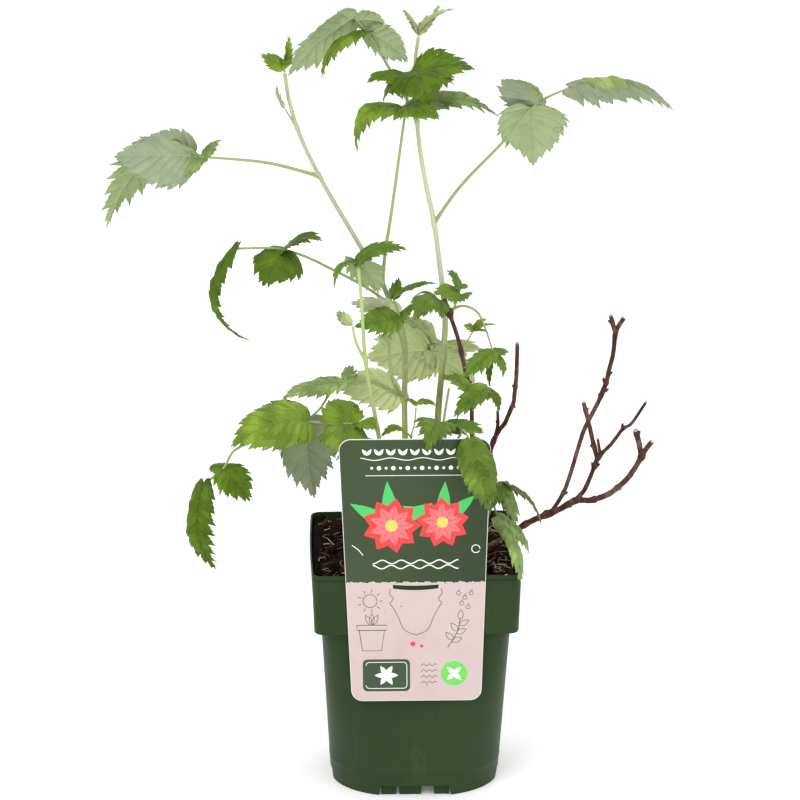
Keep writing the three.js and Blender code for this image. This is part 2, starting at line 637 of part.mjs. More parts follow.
// ---- the leaves of the cut cane ----
leaf('leaf_old_up', cutCane, 308, [[27, -8, 318], [29, -9, 327]], [
  [1, [20, -12, 339], 9, 2, [0, -0.5, 1]],
  [0.8, [11, -22, 326], 15, 2, [0, -0.8, 1]],
  [1, [34, -4, 327], 5, 1, [0, -0.4, 1]],
  [0.7, [31, -22, 321], 16, 2, [0, -0.8, 1]],
])
leaf('leaf_old_left', cutCane, 310, [[18, -14, 317], [12, -18, 323]], [
  [1, [-1, -30, 311], 18, 5, [-0.2, -0.7, 0.7]],
  [0.8, [16, -34, 313], 13, 3, [0.2, -0.8, 0.6]],
  [1, [0, -8, 321], 5, 3, [0, -0.3, 1]],
])
leaf('leaf_old_right', cutCane, 311, [[31, -2, 313], [40, 2, 308], [45, 4, 298], [51, 6, 279]], [
  [1, [31, -10, 267], 13, 3, [-0.1, -0.8, 0.7]],
  [1, [57, 10, 262], 8, 3, [0.8, -0.5, 0.3]],
  [0.98, [49, 2, 257], 5, 2, [-0.3, -0.8, 0.3]],
  [1, [61, 14, 278], 7, 1, [0.3, -0.5, 0.8]],
])
leaf('leaf_old_small', cutCane, 283, [[35, 6, 289], [39, 14, 293]], [
  [1, [32, 14, 296], 8, 1, [0, -0.4, 1]],
  [1, [47, 18, 299], 6, 2, [0, -0.3, 1]],
  [1, [53, 13, 296], 5, 2, [0, -0.3, 1]],
  [0.95, [48, 10, 292], 4, 1, [0, -0.3, 1]],
])
leaf('leaf_old_low', cutCane, 256, [[36, -10, 257], [46, -20, 264]], [
  [0.45, [16, -26, 273], 15, 3, [-0.3, -0.6, 0.9]],
  [1, [24, -32, 248], 14, 4, [-0.3, -1, 0.6]],
  [0.9, [53, -26, 249], 8, 4, [0.4, -0.4, 1]],
])

export default plant
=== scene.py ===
"""A young raspberry plant in a square plastic nursery pot, with a card label on the rim.

Shapes are worked out in millimetres, with +Z up, the origin under the middle of the pot and the
label at -Y. They become metres when a mesh is made. The canes, stalks and leaflets grow from the
same places and sizes as the plain solids that they replace, in finer steps.
"""

import math

import bmesh
import bpy
import numpy as np
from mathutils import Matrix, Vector
from mathutils.geometry import tessellate_polygon


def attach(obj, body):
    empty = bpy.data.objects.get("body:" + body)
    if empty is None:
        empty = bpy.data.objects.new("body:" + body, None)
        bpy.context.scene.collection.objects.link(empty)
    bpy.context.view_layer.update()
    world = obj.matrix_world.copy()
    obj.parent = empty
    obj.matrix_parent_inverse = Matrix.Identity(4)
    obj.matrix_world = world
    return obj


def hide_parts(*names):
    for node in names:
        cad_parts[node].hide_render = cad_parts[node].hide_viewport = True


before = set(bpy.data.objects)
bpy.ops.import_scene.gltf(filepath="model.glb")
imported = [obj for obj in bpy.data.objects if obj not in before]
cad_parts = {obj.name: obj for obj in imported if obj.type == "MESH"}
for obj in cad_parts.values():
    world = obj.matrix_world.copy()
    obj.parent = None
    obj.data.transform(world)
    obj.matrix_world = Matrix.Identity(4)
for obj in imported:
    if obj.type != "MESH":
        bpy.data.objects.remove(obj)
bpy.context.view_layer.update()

MM = 0.001
SEED = 7

# ---- driving sizes, as in the solids ----
GAP = 0.3
POT_HALF = 66.5
POT_HEIGHT = 154
WALL = 1.2
COLLAR_HEIGHT = 40
COLLAR_FOOT = POT_HEIGHT - COLLAR_HEIGHT
COLLAR_FOOT_HALF = 65
BODY_TOP_HALF = 60.5
BODY_FOOT_HALF = 54.5
RIM_CORNER = 7
BODY_CORNER = 16
FOOT_CORNER = 44
RIM_BOW = 1
FLOOR = 7.5
MOULD_LINE = 16
ARCH_SPAN = (-23.5, 22)
ARCH_HIGH = 7
PAD_SPANS = [(-23, -12), (-11.5, 4), (11, 22)]
PAD_DEEP = 3
PAD_OUT = 49.5
BOSS_RADIUS = 9
DRAIN_RADIUS = 5
DRAIN_OUT = 20
SOIL_TOP = 150
FOOT = SOIL_TOP + GAP

LABEL_TOP = 246.7
LABEL_FOOT = 69.3
LABEL_TOP_HALF = 47.5
LABEL_FOOT_HALF = 41.5
LABEL_THICK = 0.8
LABEL_CORNER = 7.5
LABEL_LEAN = 0.054
LABEL_ASIDE = -0.9
LABEL_SLANT = -0.009
WINDOW_HALF = 14.4
WINDOW_FOOT = 146
WINDOW_TOP = 149
HOOK_WIDE = 28

STALK_THIN = 0.55
STALK_THICK = 1.2
STALK_GAIN = 1 / 120
STALK_TAPER = 0.6
EDGE_LIFT = 0.14


# ---- materials ----
class Shade:
    """One output in a material's nodes, which takes part in sums like a number."""

    def __init__(self, finish, socket):
        self.finish = finish
        self.socket = socket

    def maths(self, operation, first, second):
        return self.finish.node("ShaderNodeMath", {"operation": operation}, {0: first, 1: second})

    def __add__(self, other):
        return self.maths("ADD", self, other)

    def __radd__(self, other):
        return self.maths("ADD", other, self)

    def __sub__(self, other):
        return self.maths("SUBTRACT", self, other)

    def __rsub__(self, other):
        return self.maths("SUBTRACT", other, self)

    def __mul__(self, other):
        return self.maths("MULTIPLY", self, other)

    def __rmul__(self, other):
        return self.maths("MULTIPLY", other, self)


def tone(red, green, blue):
    """A linear colour from the three 0 to 255 values of a paint chart."""
    shares = [value / 255 for value in (red, green, blue)]
    return (*[s / 12.92 if s <= 0.04045 else ((s + 0.055) / 1.055) ** 2.4 for s in shares], 1.0)


class Finish:
    """A material in the making. Colours are outputs of its nodes or paint chart values."""

    def __init__(self, name, roughness=0.5, **settings):
        self.material = bpy.data.materials.new(name)
        self.material.use_nodes = True
        self.nodes = self.material.node_tree.nodes
        self.links = self.material.node_tree.links
        self.surface = self.nodes["Principled BSDF"]
        for socket, value in {"Roughness": roughness, **settings}.items():
            self.surface.inputs[socket.replace("_", " ")].default_value = value

    def node(self, kind, settings, values, output=0):
        made = self.nodes.new(kind)
        for name, value in settings.items():
            if name == "stops":
                stops = made.color_ramp.elements
                while len(stops) < len(value):
                    stops.new(1)
                for stop, (place, colour) in zip(stops, value):
                    stop.position = place
                    stop.color = tone(*colour)
            else:
                setattr(made, name, value)
        for key, value in values.items():
            if isinstance(value, Shade):
                self.links.new(value.socket, made.inputs[key])
            else:
                made.inputs[key].default_value = value
        return Shade(self, made.outputs[output])

    def place(self):
        return self.node("ShaderNodeTexCoord", {}, {}, "Object")

    def axis(self, name):
        return self.node("ShaderNodeSeparateXYZ", {}, {0: self.place()}, name)

    def stretched(self, *scale):
        return self.node("ShaderNodeMapping", {}, {"Vector": self.place(), "Scale": scale})

    def noise(self, scale, detail=3.0, where=None, roughness=0.5):
        where = where or self.place()
        values = {"Vector": where, "Scale": scale, "Detail": detail, "Roughness": roughness}
        return self.node("ShaderNodeTexNoise", {}, values, "Fac")

    def ramp(self, factor, *stops):
        return self.node("ShaderNodeValToRGB", {"stops": stops}, {"Fac": factor}, "Color")

    def between(self, factor, low, high):
        values = {"Value": factor, "From Min": low, "From Max": high}
        return self.node("ShaderNodeMapRange", {"clamp": True}, values, "Result")

    def blend(self, factor, first, second):
        first, second = (c if isinstance(c, Shade) else tone(*c) for c in (first, second))
        values = {0: factor, 6: first, 7: second}
        return self.node("ShaderNodeMix", {"data_type": "RGBA"}, values, 2)

    def overlay(self, colour, field, low, high, share, other):
        """The colour, with a share of another one where a field passes from low to high."""
        return self.blend(self.between(field, low, high) * share, colour, other)

    def drive(self, socket, value):
        self.links.new(value.socket, self.surface.inputs[socket])

    def relief(self, height, distance, strength=1.0):
        values = {"Height": height, "Distance": distance, "Strength": strength}
        self.drive("Normal", self.node("ShaderNodeBump", {}, values))


def grained(name, colour, roughness, grain=900, depth=0.0001, strength=0.6, **settings):
    """One colour all over, with a fine soft grain."""
    finish = Finish(name, roughness, Base_Color=tone(*colour), **settings)
    finish.relief(finish.noise(grain), depth, strength)
    return finish.material


def leaf_skin(name, colour, roughness):
    """Leaf tissue: one colour with a short nap."""
    nap = {"Specular_IOR_Level": 0.1, "Sheen_Weight": 0.02, "Sheen_Roughness": 0.4}
    return grained(name, colour, roughness, 1400, 0.00025, 0.5, **nap)


# ---- gathering points and faces ----
def placed(name, data):
    """An object that holds a mesh, a light or a camera, in the scene."""
    made = bpy.data.objects.new(name, data)
    bpy.context.scene.collection.objects.link(made)
    return made


def settle(mesh, name, nodes=()):
    """The mesh becomes a piece of the plant that rides on its one body."""
    piece = placed(name, mesh)
    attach(piece, "root")
    if nodes:
        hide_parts(*nodes)


class Skin:
    """Points and faces that become one mesh. Each face has the number of its material."""

    def __init__(self, *materials):
        self.materials = list(materials)
        self.points = []
        self.faces = []
        self.kinds = []
        self.count = 0

    def add(self, points, *faces, kind=0):
        """Each of faces is an array with 3 or 4 corners a row; kind is one number, or one a face."""
        faces = [np.asarray(part, int) for part in faces]
        self.faces += [part + self.count for part in faces]
        self.points.append(np.asarray(points, float))
        self.kinds.append(np.broadcast_to(kind, sum(len(part) for part in faces)))
        self.count += len(points)

    def first_of(self, materials):
        """The number of the first of some materials that belong together."""
        if materials[0] not in self.materials:
            self.materials += materials
        return self.materials.index(materials[0])

    def mesh(self, name, smooth=True):
        corners = np.concatenate([part.ravel() for part in self.faces])
        sizes = np.concatenate([np.full(len(part), part.shape[1]) for part in self.faces])
        starts = np.concatenate([[0], np.cumsum(sizes)[:-1]])
        mesh = bpy.data.meshes.new(name)
        mesh.vertices.add(self.count)
        mesh.vertices.foreach_set("co", (np.concatenate(self.points) * MM).ravel())
        mesh.loops.add(len(corners))
        mesh.loops.foreach_set("vertex_index", corners.astype(np.int32))
        mesh.polygons.add(len(sizes))
        mesh.polygons.foreach_set("loop_start", starts.astype(np.int32))
        for material in self.materials:
            mesh.materials.append(material)
        mesh.polygons.foreach_set("material_index", np.concatenate(self.kinds).astype(np.int32))
        mesh.polygons.foreach_set("use_smooth", np.full(len(sizes), smooth))
        mesh.update(calc_edges=True)
        mesh.validate()
        return mesh

    def make(self, name, slot, nodes=(), smooth=True):
        settle(self.mesh(name, smooth), name, nodes)


def grid(rows, columns, around=False):
    """Quads of a grid of points; with around, the last column joins the first."""
    row = np.arange(rows - 1)[:, None] * columns
    here = np.arange(columns if around else columns - 1)
    after = (here + 1) % columns
    quads = [row + here, row + after, row + columns + after, row + columns + here]
    return np.stack(quads, -1).reshape(-1, 4)


def fan(centre, ring, flip=False):
    """Triangles from a centre to a closed ring of point numbers."""
    ring, after = np.asarray(ring), np.roll(ring, -1)
    if flip:
        ring, after = after, ring
    return np.stack([np.full(len(ring), centre), ring, after], -1)


def walls(loop, shift):
    """Quads between a closed loop of point numbers and the same loop further on in the points."""
    after = np.roll(loop, -1)
    return np.stack([loop + shift, after + shift, after, loop], -1)


def loft(skin, rings, kind=0):
    """A closed skin over rings, each anticlockwise about the way of travel, with fans at its ends."""
    rings = np.asarray(rings)
    count, around = rings.shape[:2]
    points = np.concatenate([rings.reshape(-1, 3), [rings[0].mean(0), rings[-1].mean(0)]])
    first = fan(count * around, np.arange(around), True)
    last = fan(count * around + 1, np.arange((count - 1) * around, count * around))
    skin.add(points, grid(count, around, True), first, last, kind=kind)


def unit(vector):
    return vector / np.linalg.norm(vector)


def units(vectors):
    return vectors / np.linalg.norm(vectors, axis=1)[:, None]


def dice_for(name, *marks):
    """Seeded dice of its own for each thing that is made."""
    return np.random.default_rng([SEED, *marks, *name.encode()])


class Rough:
    """A smooth random field over space: a sum of waves. Its values lie about 0."""

    WAVES = 28

    def __init__(self, mark, size):
        dice = dice_for("", mark)
        ways = units(dice.normal(size=(self.WAVES, 3)))
        self.ways = ways * dice.uniform(0.6, 2.2, (self.WAVES, 1)) * 2 * math.pi / size
        self.shifts = dice.uniform(0, 2 * math.pi, self.WAVES)

    def at(self, points):
        return np.sin(points @ self.ways.T + self.shifts).sum(-1) / math.sqrt(self.WAVES)


# ---- lines that limbs follow ----
class Route:
    """A smooth line through points. Places on it are shares of its length, from 0 to 1."""

    SAMPLES = 600
    STEP = 0.004

    def __init__(self, points):
        points = np.asarray(points, float)
        before = 2 * points[0] - points[1]
        after = 2 * points[-1] - points[-2]
        knots = np.concatenate([[before], points, [after]])
        spans = np.sqrt(np.linalg.norm(np.diff(knots, axis=0), axis=1))
        when = np.linspace(0, len(points) - 1, self.SAMPLES)
        index = np.minimum(when.astype(int), len(points) - 2)
        part = (when - index)[:, None]
        a, b, c, d = (knots[index + i] for i in range(4))
        s, t, u = (spans[index + i][:, None] for i in range(3))
        leave = t * ((b - a) / s - (c - a) / (s + t) + (c - b) / t)
        reach = t * ((c - b) / t - (d - b) / (t + u) + (d - c) / u)
        cubic = 2 * b - 2 * c + leave + reach
        square = 3 * c - 3 * b - 2 * leave - reach
        self.places = ((cubic * part + square) * part + leave) * part + b
        steps = np.linalg.norm(np.diff(self.places, axis=0), axis=1)
        self.run = np.concatenate([[0], np.cumsum(steps)])
        self.length = self.run[-1]

    def at(self, shares):
        where = np.clip(np.atleast_1d(shares), 0, 1) * self.length
        return np.stack([np.interp(where, self.run, self.places[:, i]) for i in range(3)], -1)

    def along(self, shares):
        shares = np.atleast_1d(shares)
        return units(self.at(shares + self.STEP) - self.at(shares - self.STEP))


class Limb:
    """A tapering round limb: its route, its radius and where things sit on it."""

    def __init__(self, points, foot_radius, tip_radius):
        self.route = Route(points)
        self.foot_radius = foot_radius
        self.tip_radius = tip_radius
        self.tip = self.route.at(1)[0] + GAP * self.route.along(1)[0]
        self.bumps = []

    def seat(self, height):
        """Where something that leaves at a height sits on the axis; at the tip if it is None."""
        if height is None:
            return self.tip
        return self.route.places[np.argmin(abs(self.route.places[:, 2] - height))]

    def share(self, point):
        """How far along the limb a point lies."""
        gaps = np.linalg.norm(self.route.places - point, axis=1)
        return self.route.run[np.argmin(gaps)] / self.route.length

    def radius(self, shares):
        return self.foot_radius + (self.tip_radius - self.foot_radius) * np.asarray(shares)


def turned(ways):
    """Two directions across each way, which turn as little as they can from one to the next."""
    first = np.array([1.0, 0, 0]) if abs(ways[0][2]) > 0.7 else np.array([0, 0, 1.0])
    across = []
    for way in ways:
        first = unit(first - (first @ way) * way)
        across.append(first)
    across = np.array(across)
    return across, np.cross(ways, across)


def compass(ways, sides):
    """Unit steps away from a line, spread evenly round each of its ways."""
    across, other = turned(ways)
    angles = np.linspace(0, 2 * math.pi, sides, endpoint=False)[:, None]
    return across[:, None] * np.cos(angles) + other[:, None] * np.sin(angles)


def rings_along(route, shares, radius, sides):
    """Rings of points about a route; radius is one for each share, or for each share and side."""
    radius = np.asarray(radius, float)
    radius = radius[:, None] if radius.ndim == 1 else radius
    return route.at(shares)[:, None] + compass(route.along(shares), sides) * radius[..., None]


def thorn(skin, root, way, length, radius, kind=0, sides=4):
    """A slim cone from a root."""
    way = unit(np.asarray(way, float))
    points = np.concatenate([root + radius * compass(way[None], sides)[0], [root + length * way]])
    skin.add(points, fan(sides, np.arange(sides)), [[0, 3, 2], [0, 2, 1]], kind=kind)


def lathe(skin, root, way, profile, sides=10, kind=0):
    """A round body along a way; the profile is pairs of distance and radius."""
    way = unit(np.array(way, float))
    steps = compass(way[None], sides)[0]
    loft(skin, [np.asarray(root) + distance * way + radius * steps for distance, radius in profile], kind)


# ---- what grows ----
canes = []
leaves = []


def by_group(things):
    """The things of each group, in the order that they were made."""
    return {key: [x for x in things if x.group == key] for key in dict.fromkeys(x.group for x in things)}


class Cane(Limb):
    """A stem, old or green, or a side branch of one. It ends in a cut unless a limb goes on from it."""

    def __init__(self, name, group, points, foot_radius, tip_radius):
        super().__init__(points, foot_radius, tip_radius)
        self.name = name
        self.group = group
        self.rooted = True
        self.cut = True
        canes.append(self)


def bough(name, parent, height, points, foot_radius, tip_radius):
    """A side branch that starts on a cane at a height, or goes on from its tip."""
    seat = parent.seat(height)
    made = Cane(name, parent.group, [seat, *points], foot_radius, tip_radius)
    made.rooted = False
    parent.cut = parent.cut and height is not None
    parent.bumps.append(parent.share(seat))
    return made


class Leaf:
    """A stalk that leaves a cane at a height, or its tip, with leaflets on it.

    Each leaflet is its place along the stalk, its tip, width, arch, and the way its upper side faces.
    A look and a curl of its own may follow, where a pair of curls is one for each half.
    """

    def __init__(self, name, parent, height, look, points, leaflets):
        seat = parent.seat(height)
        reach = np.linalg.norm(np.array(points[-1]) - seat)
        foot = min(STALK_THICK, STALK_THIN + reach * STALK_GAIN)
        self.name = f"leaf_{name}"
        self.group = parent.group
        self.look = look
        self.on_tip = height is None
        self.stalk = Limb([seat, *points], foot, foot * STALK_TAPER)
        self.leaflets = leaflets
        parent.bumps.append(parent.share(seat))
        leaves.append(self)

    def root(self, place):
        """Where a leaflet starts on the stalk."""
        route = self.stalk.route
        start = route.at(place)[0]
        return start - 2 * GAP * route.along(1)[0] if place == 1 else start


# ---- the green canes ----
left_cane = Cane("cane_left", "left", [
    (-5, 8, FOOT), (-5, 8, 187), (-6, 6, 248), (-6, 3, 282), (-12, -1, 306), (-20, -5, 328), (-33, -9, 352),
    (-60, -17, 402), (-73, -22, 432), (-79, -25, 455), (-81, -27, 470),
], 2.2, 1.1)
right_cane = Cane("cane_right", "right", [
    (16, 0, FOOT), (15, 2, 229), (19, 4, 282), (20, 5, 300), (19, 5, 316), (16, 6, 341), (13, 7, 364),
    (7, 8, 393), (3, 9, 419), (1.5, 9, 444), (1, 10, 470), (3, 10, 485),
], 2.5, 1.1)
front_cane = Cane("cane_front", "front", [
    (-15, -20, FOOT), (-23, -24, 232), (-29, -26, 267), (-32, -27, 290), (-34, -28, 324), (-36, -28, 346),
], 1.6, 1)
front_shoot = bough("shoot_front", front_cane, 284, [(-37, -30, 296), (-40, -33, 309)], 1.1, 0.7)
pale_shoot = bough("shoot_pale", left_cane, 250, [(-13, -4, 263), (-16, -7, 281), (-16, -9, 289)], 1.4, 0.9)
Cane("stem_hairy", "low", [(19, 14, FOOT), (19, 12, 226), (20, 12, 236), (23, 13, 255)], 1.1, 0.8)
thin_stem = Cane("stem_thin", "low", [(-1, -12, FOOT), (-2, -8, 228), (0, -9, 237), (1, -10, 249)], 0.8, 0.5)
low_stem = Cane("stem_low", "low", [(14, -26, FOOT), (16, -30, 200), (19, -33, 236)], 1.3, 0.8)
right_stem = Cane("stem_right", "low", [(38, -12, FOOT), (48, -15, 180), (55, -20, 198)], 1.4, 0.9)
back_stem = Cane("stem_back", "low", [(-20, 30, FOOT), (-23, 38, 178), (-26, 46, 196)], 1.3, 0.8)
rear_stem = Cane("stem_rear", "low", [(22, 36, FOOT), (24, 42, 176), (27, 48, 192)], 1.3, 0.8)

# ---- the old, cut canes ----
cut_cane = Cane("old_cane_cut", "old", [
    (37, -3, FOOT), (37, -4, 232), (36, -4, 256), (32.5, -4, 271), (28, -5, 291.5), (21.5, -6.5, 311.5),
    (16.5, -7, 327),
], 1.5, 1.3)
bent_cane = Cane("old_cane_bent", "old", [
    (42, 20, FOOT), (49, 15.5, 205), (52, 15, 218), (55.5, 15, 225), (59, 14, 230), (61.5, 13, 236.5),
    (64.5, 12.5, 244.5), (65, 12, 250), (66, 11.5, 261), (66.5, 10, 285),
], 1.8, 1.3)
stub = bough("old_stub", bent_cane, 218, [(54.5, 15.5, 228.5), (54.5, 17, 237.5)], 1.1, 1)
long_cane = Cane("old_cane_long", "old", [
    (45.5, -7, FOOT), (48, -4.5, 152), (54, 2, 153), (59.5, 8, 153.8), (62.5, 11.5, 154.9), (66.5, 14, 157),
    (76, 14, 163), (89, 13.5, 169), (95.5, 13, 172), (101.5, 12, 176), (106, 11, 178.5), (110, 9, 179),
    (114, 7, 179.5), (117.5, 5, 181),
], 2.1, 1.95)
back_bough = bough("old_bough_back", long_cane, 169, [
    (95, 17.5, 176.5), (98.5, 20.5, 182), (103.5, 27, 194), (107.5, 31, 206.5), (112, 36, 218.5),
    (118.5, 40, 230.5), (122, 42, 237), (126.5, 44, 248), (128.5, 45, 256.5), (131, 46, 267.5),
    (132.5, 47.5, 281), (134, 48, 284.5), (138, 50, 290),
], 1.35, 1.55)
back_fork = bough("old_fork_back", back_bough, 280, [(131, 47.5, 285), (129, 48, 292.5)], 1.45, 1.4)
middle_bough = bough("old_bough_middle", long_cane, 178, [
    (110.5, 9.5, 185.5), (113.5, 8, 193), (116, 6.5, 200.5), (119, 5, 209), (127, 1, 219.5), (134.5, -5, 232),
    (138, -7, 234.5), (148, -12, 251.5),
], 1.6, 0.95)
middle_fork = bough("old_fork_middle", middle_bough, 208, [
    (116, 7.5, 217.5), (114, 9, 226.5), (109.5, 12, 244.5),
], 1.5, 1.4)
bough("old_nub_middle", middle_bough, 211, [(118.5, 5, 222)], 1.1, 0.9)
front_bough = bough("old_bough_front", long_cane, None, [
    (121, 3, 182.9), (126.5, 0, 186.5), (132.5, -3, 192.5), (138.5, -7, 200.5), (144.5, -11, 212.5),
    (148, -14, 220.5), (152, -14, 225.5),
], 1.95, 1.7)
front_fork = bough("old_fork_front", front_bough, 215, [(143, -15, 226.5), (141, -16, 234)], 1.85, 1.75)

# ---- the leaves of the left cane ----
Leaf("high_left", left_cane, 402, "pale", [(-91, -12, 409), (-116, -8, 411), (-140, -5, 412)], [
    (1, (-188, -14, 414), 40, 4, (0, 1, 0.1), "pale", -0.8),
    (0.97, (-195, 18, 360), 32, 18, (-0.5, 0.7, 0.6), "mid", (-1.3, 0.25)),
    (0.9, (-121, 14, 418), 10, 3, (0, 0.2, 1), "pale", -1.4),
    (0.93, (-145, -14, 400), 9, 2, (0.2, -0.2, 1), "pale", -1.4),
])
Leaf("top", left_cane, 329, "bright", [(-18, -7, 354), (-16, -7, 366), (-5, -4, 445), (-2, -4, 465)], [
    (1, (8, -42, 452), 50, 8, (0, -0.6, 1), "deep", -1.1),
    (0.97, (-30, -22, 462), 28, 5, (-0.2, -0.5, 1), "deep", -1),
    (0.97, (37, -22, 470), 34, 5, (0.2, -0.5, 1), "deep", (-1, 0.2)),
    (0.82, (-36, -8, 415), 17, 20, (-0.3, -0.6, 1), "bright", -1),
    (0.82, (53, 2, 435), 19, 11, (0, -0.5, 0.8), "pale", -0.9),
    (0.84, (15, -20, 438), 24, 3, (0.2, -0.6, 0.9)),
])
Leaf("tip_left", left_cane, None, "bright", [(-82, -27, 474)], [
    (1, (-96, -34, 483), 10, 2, (-0.5, -0.7, 0.5), "bright", -1),
    (1, (-78, -26, 493), 8, 1, (0.6, -1, 0.2), "bright", 1),
])
Leaf("bud_left", left_cane, 434, "young", [(-82, -25, 448)], [
    (1, (-86, -27, 462), 6, 1, (-0.8, -0.5, 0.3)),
])
Leaf("centre", left_cane, 271, "mid", [(-5, -5, 288), (-7, -9, 300), (-10, -12, 311), (-14, -12, 322)], [
    (0.74, (-39, -22, 305), 18, 4, (0, -1, 0.6)),
    (0.8, (-41, -12, 318), 16, 2, (0, 1, 0.2), "young", -0.9),
    (1, (-10, -6, 333), 9, 1, (0.5, -0.5, 0.3)),
    (1, (14, -6, 329), 7, 3, (0, -0.2, 1)),
    (0.72, (1, -16, 318), 9, 1, (0, -0.5, 1)),
])
Leaf("pale_tip", pale_shoot, None, "young", [(-16, -9, 291)], [
    (1, (-23, -12, 298), 7, 2, (-0.5, -0.8, 0.5)),
    (1, (-13, -9, 299), 5, 1, (0.5, -0.8, 0.3)),
])
Leaf("low_back", left_cane, 251, "pale", [
    (-18, 8, 256), (-27, 9, 260), (-49, 6, 258), (-61, 0, 244), (-69, -6, 239),
], [
    # painted light: this leaflet lies in shade and takes the paler look that lifts it
    (0.06, (-51, 16, 254), 32, 3, (0, 1, 0.35), "sunny", -0.5),
    (0.5, (-41, 20, 268), 11, 1, (0, 0.7, 0.7)),
    (0.55, (-85, -2, 251), 21, 4, (0, -0.2, 1)),
    (1, (-64, -2, 185), 38, 6, (-0.3, 1, 0.3)),
])

# ---- the leaves of the right cane ----
Leaf("high_right", right_cane, 365, "bright", [(28, 4, 388), (58, -2, 422), (77, -6, 445), (98, -8, 456)], [
    (1, (161, -14, 442), 34, 13, (0, 0.78, 0.63), "pale", (-1.95, -0.6)),
    (0.78, (76, 18, 399), 43, 5, (0, 1, 0.5)),
    (0.8, (58, -20, 463), 38, 5, (0, 0.75, 0.65), "pale", (-0.2, -1.9)),
])
Leaf("arching", right_cane, 430, "bright", [(-2, 14, 439), (-17, 16, 466), (-27, 14, 484), (-38, 12, 497)], [
    (1, (-79, -6, 463), 26, 5, (-0.2, 0.7, 0.6), "bright", (-1.5, -0.6)),
    (0.96, (-18, 8, 493), 14, 3, (0, 0.9, 0.3)),
    (0.83, (-58, -10, 463), 14, 9, (-0.3, -0.1, 1), "bright", -1.4),
    (0.83, (-4, 2, 470), 22, 3, (0, 0.9, 0.5)),
])
Leaf("tip_right", right_cane, None, "young", [(3, 10, 488)], [
    (1, (-7, 4, 503), 7, -2, (-1, -0.6, 0.2), "young", 1),
    (1, (16, 12, 505), 7, 3, (0.5, -0.6, 0.3), "young", 1),
    (1, (25, 6, 503), 7, 4, (0.3, -0.6, 0.8), "young", 1),
])
Leaf("mid_left", right_cane, 285, "deep", [
    (-7, 9, 305), (-29, 8, 322), (-53, 2, 337), (-72, -5, 348), (-88, -8, 353), (-114, -12, 354),
], [
    (0.79, (-58, -22, 361), 22, 6, (0, -0.35, 1)),
    (0.79, (-96, -22, 332), 36, 4, (0, -0.7, 1), "deep", -1),
    (1, (-105, -16, 295), 13, 20, (-1, -0.5, 0.2), "deep", -1.7),
])
# painted light: the backlit leaf takes the paler look that stands in for light through it
Leaf("backlit", right_cane, 278, "sunny", [(15, 22, 276), (11, 40, 272)], [
    (1, (-30, 52, 263), 44, 3, (0, 1, 0.2)),
    (1, (-11, 50, 291), 30, 4, (0, 0.8, 0.5)),
    (0.9, (42, 32, 246), 24, 5, (0.2, 0.9, 0.4)),
    (1, (48, 50, 268), 24, 4, (0.1, 0.8, 0.6)),
])

# ---- the leaves of the front cane ----
Leaf("front", front_cane, None, "mid", [(-37, -28, 349)], [
    (1, (-5, -30, 357), 13, 6, (-0.1, -0.5, 1)),
    (1, (-23, -16, 325), 21, 3, (0.2, 1, 0.3)),
    (1, (-44, -22, 346), 15, 1, (0, 1, 0.4)),
    (1, (-51, -38, 335), 7, 7, (-0.3, -0.4, 1)),
])
Leaf("front_bud", front_shoot, None, "young", [(-41, -33, 311)], [
    (1, (-50, -36, 319), 7, -2, (-0.5, -0.6, 0.6)),
])
Leaf("low_front", front_cane, 239, "bright", [(-34, -30, 244), (-46, -34, 245), (-69, -32, 246)], [
    (1, (-117, -44, 233), 42, 10, (-0.1, -0.6, 0.8)),
    (0.48, (-49, -18, 257), 28, 2, (0, -0.3, 1)),
    (0.5, (-43, -52, 224), 36, 5, (0.2, -0.8, 0.6), "mid", -1.1),
    (0.3, (-27, -42, 243), 14, 3, (0.2, -0.6, 0.8)),
])
Leaf("low_left", front_cane, 229, "deep", [
    (-45, -20, 235), (-67, -17, 233), (-92, -20, 232), (-115, -25, 225), (-122, -28, 214), (-135, -30, 204),
], [
    (1, (-127, -36, 149), 20, 11, (-0.8, -1, 0.2), "deep", -1.1),
    (0.87, (-131, -22, 213), 12, 1, (0, -0.3, 1)),
    (0.87, (-105, -44, 197), 22, 3, (0.3, -0.8, 0.5)),
])

# ---- the leaves of the low stems ----
Leaf("thin_tip", thin_stem, None, "bright", [(1, -10, 251)], [
    (1, (14, -14, 250), 6, 3, (0, -0.5, 1)),
    (1, (-5, -8, 253), 4, 1, (0, -0.5, 1)),
])
Leaf("thin_side", thin_stem, 228, "bright", [(-7, -14, 234)], [
    (1, (-22, -22, 232), 8, 5, (-0.2, -0.4, 1)),
])
Leaf("label_top", low_stem, None, "mid", [(19, -37, 244)], [
    (1, (6, -85, 241), 24, 9, (-0.1, -0.7, 0.7)),
    (1, (43, -44, 241), 15, 2, (0.1, -0.5, 1)),
])
Leaf("label_right", low_stem, 222, "mid", [(27, -48, 240), (29, -66, 250), (33, -78, 246)], [
    (1, (44, -82, 202), 26, 7, (0.3, -1, 0.3), "mid", -1.2),
    (0.95, (32, -80, 226), 9, 2, (0, -1, 0.3)),
])
Leaf("right_low", right_stem, None, "mid", [(57, -22, 201)], [
    (1, (49, -34, 188), 12, 2, (-0.3, -0.8, 0.4)),
    (1, (80, -30, 176), 17, 5, (0.2, 0.4, 1)),
    (1, (64, -38, 178), 13, 3, (0.3, -0.8, 0.5), "pale", -1.6),
])
Leaf("right_rim", right_stem, 186, "bright", [(53, -34, 180)], [
    (1, (65, -74, 151), 17, 8, (0.5, -0.7, 0.3), "pale", -3.3),
    (0.8, (73, -20, 153), 13, 4, (0.6, -0.3, 0.6), "pale", -1.2),
])
Leaf("back_left", back_stem, None, "mid", [(-30, 52, 200)], [
    (1, (-44, 74, 184), 26, 4, (-0.3, 0.5, 1)),
    (0.8, (-50, 44, 196), 20, 3, (-0.3, 0.2, 1)),
    (0.8, (-12, 62, 192), 20, 3, (0.3, 0.3, 1)),
])
